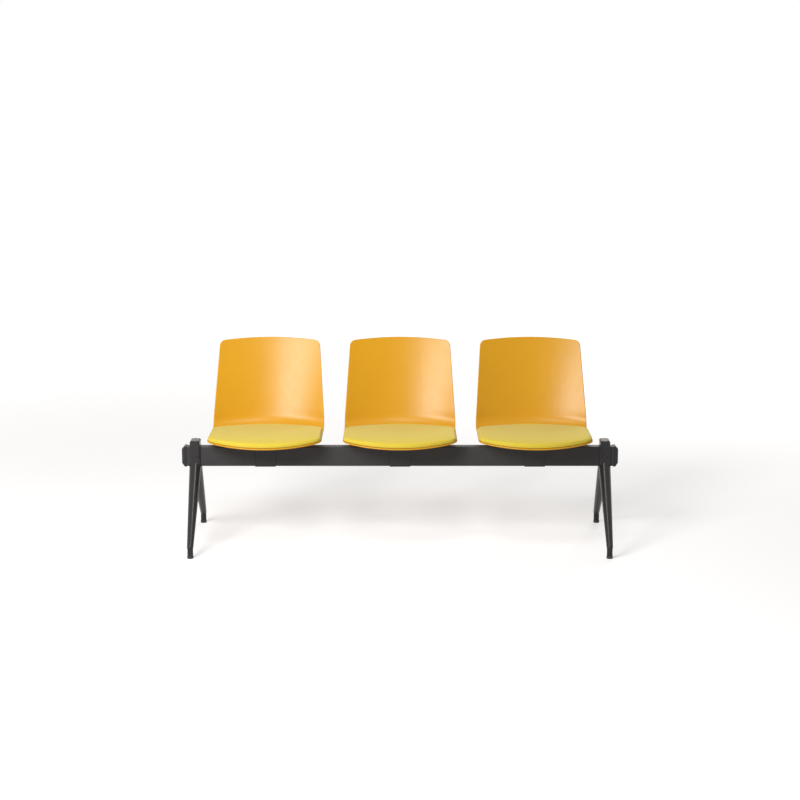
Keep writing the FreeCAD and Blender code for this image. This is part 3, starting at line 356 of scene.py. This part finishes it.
@dataclass(frozen=True)
class ThreadedSteel(BareMetal):
    """Zinc-plated steel with the ridges of a screw thread, stacked along Z."""

    pitch: float = 0.0015
    depth: float = 0.0005

    def marks(self, graph: Graph) -> bpy.types.NodeSocket:
        """Relief of triangular ridges, one for each pitch along Z."""
        ridges = graph.add("TexWave", bands_direction="Z", wave_profile="TRI", Vector=graph.place())
        ridges.inputs["Scale"].default_value = math.pi / 10 / self.pitch
        return graph.relief(ridges.outputs["Fac"], self.depth)


@dataclass(frozen=True)
class Plywood:
    """Birch plywood board with the grain along X."""

    name: str
    light: Colour = (0.60, 0.44, 0.27)
    dark: Colour = (0.42, 0.28, 0.15)

    def material(self) -> bpy.types.Material:
        """Wood whose grain is noise drawn out along the board."""
        graph = Graph(self.name)
        grain = graph.noise(graph.place((3.0, 60.0, 60.0)), 3.0, 6.0)
        graph.link(graph.blend(grain, self.dark, self.light), graph.shader.inputs["Base Color"])
        graph.link(graph.relief(grain, 0.0001), graph.shader.inputs["Normal"])
        graph.shader.inputs["Roughness"].default_value = 0.62
        return graph.material


@dataclass(frozen=True)
class StudioFloor:
    """Seamless pale floor: the camera sees it lifted to white, and it keeps the bench's shadow."""

    name: str = "studio_floor"
    colour: Colour = (0.64, 0.625, 0.615)
    near: float = 1.2
    far: float = 6.0
    near_lift: float = 0.460
    far_lift: float = 0.90

    def material(self) -> bpy.types.Material:
        """Diffuse floor with an even lift for what sees it directly, in gloss or through glass."""
        graph = Graph(self.name)
        graph.shader.inputs["Base Color"].default_value = (*self.colour, 1.0)
        graph.shader.inputs["Roughness"].default_value = 0.9
        graph.shader.inputs["Specular IOR Level"].default_value = 0.0
        away = graph.add("VectorMath", operation="LENGTH")
        graph.link(graph.place(), away.inputs[0])
        lift = graph.add("MapRange", Value=away.outputs["Value"], interpolation_type="SMOOTHSTEP")
        for name, number in (
            ("From Min", self.near),
            ("From Max", self.far),
            ("To Min", self.near_lift),
            ("To Max", self.far_lift),
        ):
            lift.inputs[name].default_value = number
        strength = graph.add("Math", operation="MULTIPLY")
        graph.link(seen_directly(graph.material.node_tree), strength.inputs[0])
        graph.link(lift.outputs[0], strength.inputs[1])
        graph.shader.inputs["Emission Color"].default_value = (1.0, 1.0, 1.0, 1.0)
        graph.link(strength.outputs[0], graph.shader.inputs["Emission Strength"])
        return graph.material


# Meshes


def grid_faces(rows: int, columns: int, first: int = 0, closed: bool = False) -> np.ndarray:
    """Quads of a grid whose vertices are numbered row by row.

    Args:
        rows: rows of vertices.
        columns: vertices in a row.
        first: number of the first vertex.
        closed: whether the last column joins the first.

    Returns:
        Array of four vertex numbers for each quad.
    """
    row = np.arange(rows - 1)[:, None]
    column = np.arange(columns if closed else columns - 1)[None, :]
    following = (column + 1) % columns
    near = row * columns
    far = near + columns
    corners = (near + column, near + following, far + following, far + column)
    return first + np.stack(np.broadcast_arrays(*corners), axis=-1).reshape(-1, 4)


def mesh_object(
    name: str, vertices: np.ndarray, faces: np.ndarray, material: bpy.types.Material
) -> bpy.types.Object:
    """Smooth mesh object at the origin.

    Args:
        name: object name.
        vertices: array of places, one row each.
        faces: array of vertex numbers, one row for each face.
        material: finish of the whole piece.

    Returns:
        The new object, linked to the scene.
    """
    mesh = bpy.data.meshes.new(name)
    mesh.from_pydata(vertices.tolist(), [], faces.tolist())
    mesh.polygons.foreach_set("use_smooth", np.ones(len(mesh.polygons), bool))
    mesh.materials.append(material)
    mesh.update()
    item = bpy.data.objects.new(name, mesh)
    bpy.context.scene.collection.objects.link(item)
    return item


def places(mesh: bpy.types.Mesh) -> np.ndarray:
    """Vertex places of a mesh, one row each."""
    flat = np.empty(len(mesh.vertices) * 3, np.float32)
    mesh.vertices.foreach_get("co", flat)
    return flat.reshape(-1, 3).astype(float)


def eased(value: np.ndarray, start: float, end: float) -> np.ndarray:
    """Share that runs from 0 at start to 1 at end by three squares less two cubes."""
    part = np.clip((value - start) / (end - start), 0.0, 1.0)
    return part * part * (3 - 2 * part)


# Seats


@dataclass(frozen=True)
class SittingSurface:
    """Upper surface of a shell, with Y from the beam's axis.

    Its middle profile is an arc over the lip, a straight fall, an arc at the bend and a straight back. Across
    the seat every point shifts forward and up with the square of its distance from the middle.
    """

    half_width: float = 0.228
    lip_reach: float = 0.165
    lip_start: float = 0.060
    lip_radius: float = 0.515
    slope: float = math.radians(2.0)
    recline: float = math.radians(20.3)
    bend: float = 0.080
    knee_y: float = 0.2733
    knee_rise: float = 0.0173
    dish: float = 0.011
    sweep: float = 0.060
    sweep_start: float = 0.120
    spare: float = 0.030

    @property
    def lip_end(self) -> float:
        """Way along the profile to the end of the lip's arc."""
        return self.lip_reach + self.spare - self.lip_start

    @property
    def tangent(self) -> float:
        """Distance from the knee to either end of the bend."""
        return self.bend * math.tan(self.turned / 2)

    @property
    def turned(self) -> float:
        """Angle through which the bend turns."""
        return math.pi / 2 - self.recline + self.slope

    @property
    def seat_end(self) -> float:
        """Way along the profile to the start of the bend."""
        run = self.knee_y - self.tangent * math.cos(self.slope) + self.lip_start
        return self.lip_end + run / math.cos(self.slope)

    def profile(self, way: np.ndarray) -> tuple[np.ndarray, np.ndarray]:
        """Middle profile at a way along it, up to the end of the bend.

        Args:
            way: distances from the profile's start.

        Returns:
            Y and Z: an arc before lip_end, a straight fall before seat_end, and an arc after it.
        """
        lip_z = BEAM_TOP + self.knee_rise + (self.knee_y + self.lip_start) * math.tan(self.slope)
        lip_angle = (self.lip_end - way) / self.lip_radius - self.slope
        lip_arc_y = -self.lip_start - self.lip_radius * (np.sin(lip_angle) + math.sin(self.slope))
        lip_arc_z = lip_z - self.lip_radius * (math.cos(self.slope) - np.cos(lip_angle))
        run = way - self.lip_end
        fall_y = -self.lip_start + run * math.cos(self.slope)
        fall_z = lip_z - run * math.sin(self.slope)
        bend_angle = (way - self.seat_end) / self.bend - self.slope
        bend_y = self.knee_y - self.tangent * math.cos(self.slope)
        bend_z = BEAM_TOP + self.knee_rise + self.tangent * math.sin(self.slope)
        bend_arc_y = bend_y + self.bend * (math.sin(self.slope) + np.sin(bend_angle))
        bend_arc_z = bend_z + self.bend * (math.cos(self.slope) - np.cos(bend_angle))
        before = [way < self.lip_end, way < self.seat_end]
        return (
            np.select(before, [lip_arc_y, fall_y], bend_arc_y),
            np.select(before, [lip_arc_z, fall_z], bend_arc_z),
        )

    def point(self, way: np.ndarray, x: np.ndarray) -> tuple[np.ndarray, np.ndarray]:
        """Y and Z of the surface at a way along the profile and a distance from the seat's middle."""
        bend_end = self.seat_end + self.bend * self.turned
        share = (x / self.half_width) ** 2
        forward = self.sweep * eased(way, self.seat_end - self.sweep_start, bend_end + self.sweep_start / 3)
        rise = self.dish * eased(way, 0.0, self.lip_end * 1.5) * (1 - eased(way, self.seat_end, bend_end))
        y, z = self.profile(way)
        return y - forward * share, z + rise * share

    def level(self, x: np.ndarray, y: np.ndarray) -> np.ndarray:
        """Height of the seat above a place, found by halving the way in which it lies.

        Args:
            x: distances from the seat's middle.
            y: distances behind the beam's axis.

        Returns:
            Heights above the floor.
        """
        low = np.zeros_like(x)
        high = np.full_like(x, self.seat_end + self.bend * 0.9)
        for _ in range(28):
            middle = (low + high) / 2
            reached = self.point(middle, x)[0] > y
            high = np.where(reached, middle, high)
            low = np.where(reached, low, middle)
        return self.point(low, x)[1]


@dataclass
class SeatPad:
    """Foam pad under a sewn cover: a crowned top, a rolled edge drawn in at its foot, and a flat seat.

    Sizes are as in the part's source, and the same pad serves the three seats.
    """

    MAP = "cloth"
    WAY = "section_way"

    surface: SittingSurface
    cloth: bpy.types.Material
    inset: float = 0.0022
    lip_bow: float = 0.075
    lip_bow_x: float = 0.222
    lip_corner: float = 0.050
    rear_y: float = 0.245
    rear_bow: float = 0.060
    rear_bow_x: float = 0.190
    rear_corner: float = 0.060
    crown: float = 0.0195
    crown_power: float = 0.3
    side: float = 0.0085
    shoulder_share: float = 0.62
    shoulder_power: float = 0.9
    waist_share: float = 0.26
    tuck: float = 0.0085
    tuck_power: float = 1.3
    underside_power: float = 0.7
    foot: float = 0.0004
    swell: float = 0.0012
    swell_reach: float = 0.12
    corner_cut: float = 0.012
    columns: int = 56
    rows: int = 48
    roll_rings: int = 9
    foot_rings: int = 6
    seam_way: float = 0.0015
    seam_width: float = 0.0011
    seam_depth: float = 0.0007
    swell_cap: float = 0.0025
    filling_frames: int = 20
    outline: np.ndarray = field(init=False)

    def __post_init__(self) -> None:
        """Work out the outline of the pad seen from above."""
        self.outline = self.outline_points()

    @staticmethod
    def bow_radius(fall: float, half_width: float) -> float:
        """Radius of an arc that falls by so much at a half width."""
        return (half_width**2 + fall**2) / (2 * fall)

    def half_outline(self) -> np.ndarray:
        """Right half of the outline: front arc, corner, straight side, corner and rear arc.

        Returns:
            Dense points from the middle of the front to the middle of the rear.
        """
        half_width = self.surface.half_width - self.inset
        front_radius = self.bow_radius(self.lip_bow, self.lip_bow_x)
        front_hub = front_radius - self.surface.lip_reach
        rear_radius = self.bow_radius(self.rear_bow, self.rear_bow_x)
        rear_hub = self.rear_y - rear_radius
        front = (front_radius - self.inset, front_hub, self.lip_corner - self.inset, -1)
        rear = (rear_radius, rear_hub, self.rear_corner, 1)
        stretches = []
        for radius, hub, corner, sense in (front, rear):
            centre_x = half_width - corner
            centre_y = hub + sense * math.sqrt((radius - corner) ** 2 - centre_x**2)
            meeting = math.atan2(centre_y - hub, centre_x)
            wide = np.linspace(sense * math.pi / 2, meeting, 240)
            tight = np.linspace(meeting, 0.0, 160)
            bow = np.stack((np.cos(wide), np.sin(wide)), axis=1) * radius + (0.0, hub)
            round_off = np.stack((np.cos(tight), np.sin(tight)), axis=1) * corner + (centre_x, centre_y)
            stretches.append(np.concatenate((bow, round_off[1:])))
        return np.concatenate((stretches[0], stretches[1][::-1]))

    def outline_points(self) -> np.ndarray:
        """Closed outline with even steps, one point for each column and row of the top, twice.

        The corners of the top's grid lie in the middle of the pad's four corners.
        """
        half = self.half_outline()
        other = half[-2:0:-1] * (-1, 1)
        dense = np.concatenate((half, other, half[:1]))
        run = np.concatenate(([0.0], np.cumsum(np.linalg.norm(np.diff(dense, axis=0), axis=1))))
        corner_x = self.surface.half_width - self.inset - self.corner_cut
        right = (half[:, 0] > corner_x).nonzero()[0]
        front_way = run[right[0]]
        rear_way = run[right[-1]]
        total = run[-1]
        stops = (-front_way, front_way, rear_way, total - rear_way, total - front_way)
        counts = (self.columns, self.rows, self.columns, self.rows)
        ways = np.concatenate(
            [np.linspace(a, b, count, endpoint=False) for a, b, count in zip(stops, stops[1:], counts)]
        )
        ways = np.mod(ways, total)
        return np.stack((np.interp(ways, run, dense[:, 0]), np.interp(ways, run, dense[:, 1])), axis=1)

    def inward(self) -> np.ndarray:
        """Unit directions square to the outline, pointing into the pad."""
        along = np.roll(self.outline, -1, axis=0) - np.roll(self.outline, 1, axis=0)
        along /= np.linalg.norm(along, axis=1)[:, None]
        return np.stack((-along[:, 1], along[:, 0]), axis=1)

    def patch(self, ring: np.ndarray) -> np.ndarray:
        """Grid inside a closed ring: the sum of the lines between opposite sides, less the corners' blend.

        Args:
            ring: places round the pad, as many as the outline has.

        Returns:
            Grid of places with one more row and column than there are steps.
        """
        c, r = self.columns, self.rows
        front = ring[: c + 1]
        right = ring[c : c + r + 1]
        rear = ring[c + r : 2 * c + r + 1][::-1]
        left = np.concatenate((ring[2 * c + r :], ring[:1]))[::-1]
        u = np.linspace(0.0, 1.0, c + 1)[None, :, None]
        v = np.linspace(0.0, 1.0, r + 1)[:, None, None]
        lines = (1 - v) * front + v * rear + (1 - u) * left[:, None] + u * right[:, None]
        corners = (1 - v) * ((1 - u) * front[0] + u * front[-1]) + v * ((1 - u) * rear[0] + u * rear[-1])
        return lines - corners

    def fullness(self, x: np.ndarray) -> np.ndarray:
        """Thickness of the pad at a distance from its middle: the crown there, falling to the side."""
        part = np.clip(np.abs(x) / (self.surface.half_width - self.inset), 0.0, 1.0)
        return self.side + (self.crown - self.side) * (1 - part**2) ** self.crown_power

    def sections(self) -> tuple[np.ndarray, np.ndarray, np.ndarray]:
        """Rolled edge, one section square to the outline at each of its points.

        The upper part is a quarter of an oval from the shoulder out to the waist, and the lower part one
        from the waist in to the foot.

        Returns:
            Distances inside the outline, heights above the seat, and ways along the section, ring by ring.
        """
        thickness = self.fullness(self.outline[:, 0])[None, :]
        waist = self.foot + (thickness - self.foot) * self.waist_share
        roll = thickness * self.shoulder_share
        upper = np.linspace(0.0, math.pi / 2, self.roll_rings, endpoint=False)[:, None]
        lower = np.linspace(0.0, math.pi / 2, self.foot_rings)[:, None]
        tucked = self.tuck * (1 - np.cos(lower)) ** self.tuck_power
        tucked = np.broadcast_to(tucked, (self.foot_rings, thickness.size))
        inside = np.concatenate((roll * (1 - np.sin(upper) ** self.shoulder_power), tucked))
        shoulder = waist + (thickness - waist) * np.cos(upper) ** self.shoulder_power
        underside = waist - (waist - self.foot) * np.sin(lower) ** self.underside_power
        height = np.concatenate((shoulder, underside))
        steps = np.hypot(np.diff(inside, axis=0), np.diff(height, axis=0))
        way = np.concatenate((np.zeros_like(thickness), np.cumsum(steps, axis=0)))
        return inside, height, way

    def form(self) -> tuple[np.ndarray, np.ndarray, np.ndarray, np.ndarray, np.ndarray]:
        """Closed form of the pad, in the seat's own place.

        Returns:
            Vertices, quads, the cloth's map, the way along the section, and which vertices are held.
        """
        inside, height, way = self.sections()
        inward = self.inward()
        flat = self.outline[None] + inward[None] * inside[..., None]
        top_flat = self.patch(flat[0])
        edge = np.linalg.norm(top_flat[:, :, None] - flat[0][None, None, ::4], axis=-1).min(axis=2)
        swell = self.swell * eased(edge, 0.0, self.swell_reach)
        top_height = self.fullness(top_flat[..., 0]) + swell
        bottom_flat = self.patch(flat[-1])
        bottom_height = np.full(bottom_flat.shape[:2], self.foot)
        pieces = []
        for spots, rise in ((top_flat, top_height), (flat[1:], height[1:]), (bottom_flat, bottom_height)):
            x, y = spots[..., 0], spots[..., 1]
            pieces.append(np.stack((x, y, self.surface.level(x, y) + rise), axis=-1).reshape(-1, 3))
        vertices = np.concatenate(pieces)
        threads = [top_flat, flat[0] - inward * way[1:, :, None], bottom_flat]
        cloth_map = np.concatenate([spots.reshape(-1, 2) for spots in threads])
        section = np.concatenate((-edge.ravel(), way[1:].ravel(), np.full(bottom_height.size, way.max())))
        held = np.zeros(len(vertices))
        held[-bottom_height.size :] = 1.0
        return vertices, self.quads(), cloth_map, section, held

    def border(self, first: int) -> np.ndarray:
        """Vertex numbers round the border of a patch, in the outline's order."""
        size = (self.rows + 1, self.columns + 1)
        numbers = first + np.arange(size[0] * size[1]).reshape(size)
        return np.concatenate((numbers[0, :-1], numbers[:-1, -1], numbers[-1, :0:-1], numbers[:0:-1, 0]))

    def quads(self) -> np.ndarray:
        """Faces of the top patch, the rings round it and the bottom patch, joined to one closed skin."""
        size = (self.rows + 1) * (self.columns + 1)
        around = len(self.outline)
        rings = self.roll_rings + self.foot_rings - 1
        bottom_first = size + rings * around
        top = grid_faces(self.rows + 1, self.columns + 1)
        middle = grid_faces(rings, around, size, closed=True)
        order = np.arange(around)
        following = (order + 1) % around
        upper_border = self.border(0)
        lower_border = self.border(bottom_first)
        last = size + (rings - 1) * around
        joins = [
            np.stack((upper_border, size + order, size + following, upper_border[following]), axis=1),
            np.stack((last + order, lower_border, lower_border[following], last + following), axis=1),
        ]
        bottom = grid_faces(self.rows + 1, self.columns + 1, bottom_first)[:, ::-1]
        return np.concatenate((top, joins[0], middle[:, ::-1], joins[1], bottom))

    def inflated(self, item: bpy.types.Object, held: np.ndarray) -> np.ndarray:
        """Places of the cover after air pressure has filled it, no vertex moved by more than the cap.

        Args:
            item: the pad.
            held: share by which each vertex is held where it is.

        Returns:
            New places, one row for each vertex.
        """
        group = item.vertex_groups.new(name="held")
        for number in held.nonzero()[0].tolist():
            group.add([number], 1.0, "REPLACE")
        cloth = item.modifiers.new("inflate", "CLOTH")
        settings = cloth.settings
        settings.quality = 5
        settings.mass = 0.25
        settings.tension_stiffness = 20.0
        settings.compression_stiffness = 20.0
        settings.shear_stiffness = 8.0
        settings.bending_stiffness = 1.5
        settings.use_pressure = True
        settings.uniform_pressure_force = 3.0
        settings.effector_weights.gravity = 0.0
        settings.vertex_group_mass = group.name
        scene = bpy.context.scene
        for number in range(1, self.filling_frames + 1):
            scene.frame_set(number)
        shown = item.evaluated_get(bpy.context.evaluated_depsgraph_get())
        after = places(shown.to_mesh())
        shown.to_mesh_clear()
        item.modifiers.remove(cloth)
        item.vertex_groups.clear()
        scene.frame_set(1)
        before = places(item.data)
        move = after - before
        length = np.linalg.norm(move, axis=1)
        capped = self.swell_cap * np.tanh(length / self.swell_cap)
        return before + move * (capped / np.maximum(length, 1e-9))[:, None]

    def sew(self, mesh: bpy.types.Mesh) -> None:
        """Draw the seam in: a narrow bell-shaped groove round the pad, square to its skin."""
        place = places(mesh)
        normal = np.empty(len(place) * 3, np.float32)
        mesh.vertex_normals.foreach_get("vector", normal)
        way = np.empty(len(place), np.float32)
        mesh.attributes[self.WAY].data.foreach_get("value", way)
        groove = self.seam_depth * np.exp(-(((way - self.seam_way) / self.seam_width) ** 2))
        place -= normal.reshape(-1, 3) * groove[:, None]
        mesh.vertices.foreach_set("co", place.astype(np.float32).ravel())
        mesh.update()

    def master(self) -> bpy.types.Mesh:
        """Finished mesh of one pad: formed, filled, refined and sewn."""
        vertices, faces, cloth_map, section, held = self.form()
        item = mesh_object("seat_pad_master", vertices, faces, self.cloth)
        mesh = item.data
        loops = np.empty(len(mesh.loops), np.int32)
        mesh.loops.foreach_get("vertex_index", loops)
        layer = mesh.uv_layers.new(name=self.MAP)
        layer.data.foreach_set("uv", cloth_map[loops].astype(np.float32).ravel())
        attribute = mesh.attributes.new(self.WAY, "FLOAT", "POINT")
        attribute.data.foreach_set("value", section.astype(np.float32))
        filled = self.inflated(item, held)
        mesh.vertices.foreach_set("co", filled.astype(np.float32).ravel())
        mesh.update()
        refine = item.modifiers.new("refine", "SUBSURF")
        refine.levels = refine.render_levels = 1
        refine.boundary_smooth = "PRESERVE_CORNERS"
        shown = item.evaluated_get(bpy.context.evaluated_depsgraph_get())
        finished = bpy.data.meshes.new_from_object(shown)
        bpy.data.objects.remove(item)
        self.sew(finished)
        return finished

    def build(self) -> list[bpy.types.Object]:
        """The three pads, each in its own mesh at its place on the bench."""
        master = self.master()
        pads = []
        for seat in Seat:
            name = seat.name.lower()
            mesh = master.copy()
            moved = places(mesh) + (seat.value, BEAM_AXIS_Y, 0.0)
            mesh.vertices.foreach_set("co", moved.astype(np.float32).ravel())
            mesh.update()
            pad = bpy.data.objects.new(f"pad_cover_{name}", mesh)
            bpy.context.scene.collection.objects.link(pad)
            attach(pad, "bench")
            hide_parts(f"seat_pad_{name}")
            pads.append(pad)
            log.info("%s: %d faces", pad.name, len(mesh.polygons))
        bpy.data.meshes.remove(master)
        return pads


# The frame's finishes


@dataclass
class BenchFinishes:
    """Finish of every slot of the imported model."""

    amber: Colour = (0.635, 0.303, 0.002)
    anthracite: Colour = (0.046, 0.0435, 0.044)
    black: Colour = (0.020, 0.020, 0.021)

    def materials(self) -> dict[str, bpy.types.Material]:
        """Material of each slot but the pads' cloth."""
        finishes = {
            "beam_paint": PowderCoat("coated_tube", self.anthracite, roughness=0.40),
            "strap_paint": PowderCoat("coated_strap", self.anthracite, roughness=0.42),
            # The legs' coat is the beam's anthracite darkened to 0.47 of it: painted shade for the dark
            # surroundings the glossy legs reflect and for the shade on the rear legs.
            "leg_paint": PowderCoat(
                "coated_casting_painted_shade",
                shaded(self.anthracite, 0.47),
                roughness=0.2,
                wave_depth=0.00003,
                specular=0.26,
            ),
            "cap_plastic": MouldedPlastic(
                "cap_black", shaded(self.anthracite, 0.55), roughness=0.3, specular=0.2
            ),
            "plug_plastic": MouldedPlastic("plug_black", self.anthracite, roughness=0.45),
            "foot_plastic": MouldedPlastic("foot_black", self.black, roughness=0.5),
            "shell_plastic": MouldedPlastic(
                "shell_amber", self.amber, roughness=0.34, roughness_spread=0.015, specular=0.38
            ),
            "screw_steel": BareMetal("zinc_plated", (0.56, 0.56, 0.58)),
            "insert_brass": BareMetal("turned_brass", (0.78, 0.58, 0.28)),
            "board_wood": Plywood("birch_board"),
        }
        return {slot: finish.material() for slot, finish in finishes.items()}

    def dress(self) -> None:
        """Give every carried-over node the finish of its slot."""
        materials = self.materials()
        threaded = ThreadedSteel("threaded_steel", (0.56, 0.56, 0.58)).material()
        for entry in frame["record"]["subparts"]:
            node = frame["nodes"][entry["node"]]
            material = threaded if "_stem_" in entry["node"] else materials.get(entry["material_slot"])
            if material is None:
                continue
            for slot in node.material_slots:
                slot.material = material
            log.info("%s: %s", node.name, material.name)


# The studio


@dataclass(frozen=True)
class Softbox:
    """Square lamp that looks at the bench, from a turn to the left of the front and a rise."""

    name: str
    turn: float
    rise: float
    distance: float
    size: float
    power: float

    def build(self, target: np.ndarray) -> None:
        """Hang the lamp so that it faces the target."""
        light = bpy.data.lights.new(self.name, "AREA")
        light.size = self.size
        light.energy = self.power
        item = bpy.data.objects.new(self.name, light)
        bpy.context.scene.collection.objects.link(item)
        level = math.cos(self.rise)
        away = np.array((-math.sin(self.turn) * level, -math.cos(self.turn) * level, math.sin(self.rise)))
        item.location = target + away * self.distance
        item.rotation_euler = (math.pi / 2 - self.rise, 0.0, -self.turn)


@dataclass
class Studio:
    """Pale floor, three soft lamps, an even sky, and the camera at the photograph's angle."""

    lens: float = 92.7
    sensor: float = 36.0
    pitch: float = math.radians(11.16)
    eye: Place = (0.0, BEAM_AXIS_Y - 8.076, 2.170)
    floor_size: float = 120.0
    sky: float = 0.275
    target: Place = (0.0, 0.0, 0.45)
    lamps: tuple[Softbox, ...] = (
        Softbox("key", turn=math.radians(35), rise=math.radians(32), distance=4.0, size=1.6, power=141.0),
        Softbox("top", turn=math.radians(10), rise=math.radians(70), distance=3.4, size=1.0, power=23.0),
        Softbox("rear", turn=math.radians(205), rise=math.radians(34), distance=4.0, size=1.8, power=38.0),
    )

    def floor(self) -> bpy.types.Object:
        """Large flat floor that keeps under the lowest of the levelling feet."""
        square = np.array([(-1, -1, 0), (1, -1, 0), (1, 1, 0), (-1, 1, 0)])
        corners = square * self.floor_size / 2
        item = mesh_object("floor", corners, np.array([[0, 1, 2, 3]]), StudioFloor().material())
        for name, foot in frame["bodies"].items():
            if name.startswith("foot_"):
                under = item.constraints.new("FLOOR")
                under.target = foot
                under.floor_location = "FLOOR_NEGATIVE_Z"
        return item

    def world(self) -> None:
        """Even sky that is white to the camera, in gloss and through glass."""
        world = bpy.data.worlds.new("sky")
        bpy.context.scene.world = world
        world.use_nodes = True
        tree = world.node_tree
        background = tree.nodes["Background"]
        background.inputs["Color"].default_value = (1.0, 1.0, 1.0, 1.0)
        strength = tree.nodes.new("ShaderNodeMapRange")
        tree.links.new(seen_directly(tree), strength.inputs["Value"])
        strength.inputs["To Min"].default_value = self.sky
        strength.inputs["To Max"].default_value = 1.0
        tree.links.new(strength.outputs[0], background.inputs["Strength"])

    def camera(self) -> None:
        """Camera at the photograph's place, level and looking down by its pitch."""
        data = bpy.data.cameras.new("camera")
        data.lens = self.lens
        data.sensor_width = self.sensor
        data.clip_end = 200.0
        item = bpy.data.objects.new("camera", data)
        bpy.context.scene.collection.objects.link(item)
        item.location = self.eye
        item.rotation_euler = (math.pi / 2 - self.pitch, 0.0, 0.0)
        bpy.context.scene.camera = item

    def build(self) -> None:
        """Set the whole studio up."""
        self.floor()
        self.world()
        for lamp in self.lamps:
            lamp.build(np.array(self.target))
        self.camera()
        bpy.context.scene.view_settings.view_transform = "Standard"
        log.info("studio ready")


def main() -> None:
    """Dress the bench, build its pads and set up the studio."""
    logging.basicConfig(level=logging.INFO, format="%(name)s: %(message)s")
    BenchFinishes().dress()
    cloth = WovenCloth("pad_cloth", (0.72, 0.555, 0.052), (0.62, 0.455, 0.037), (0.95, 0.90, 0.75))
    SeatPad(SittingSurface(), cloth.material()).build()
    Studio().build()


if __name__ == "__main__":
    main()
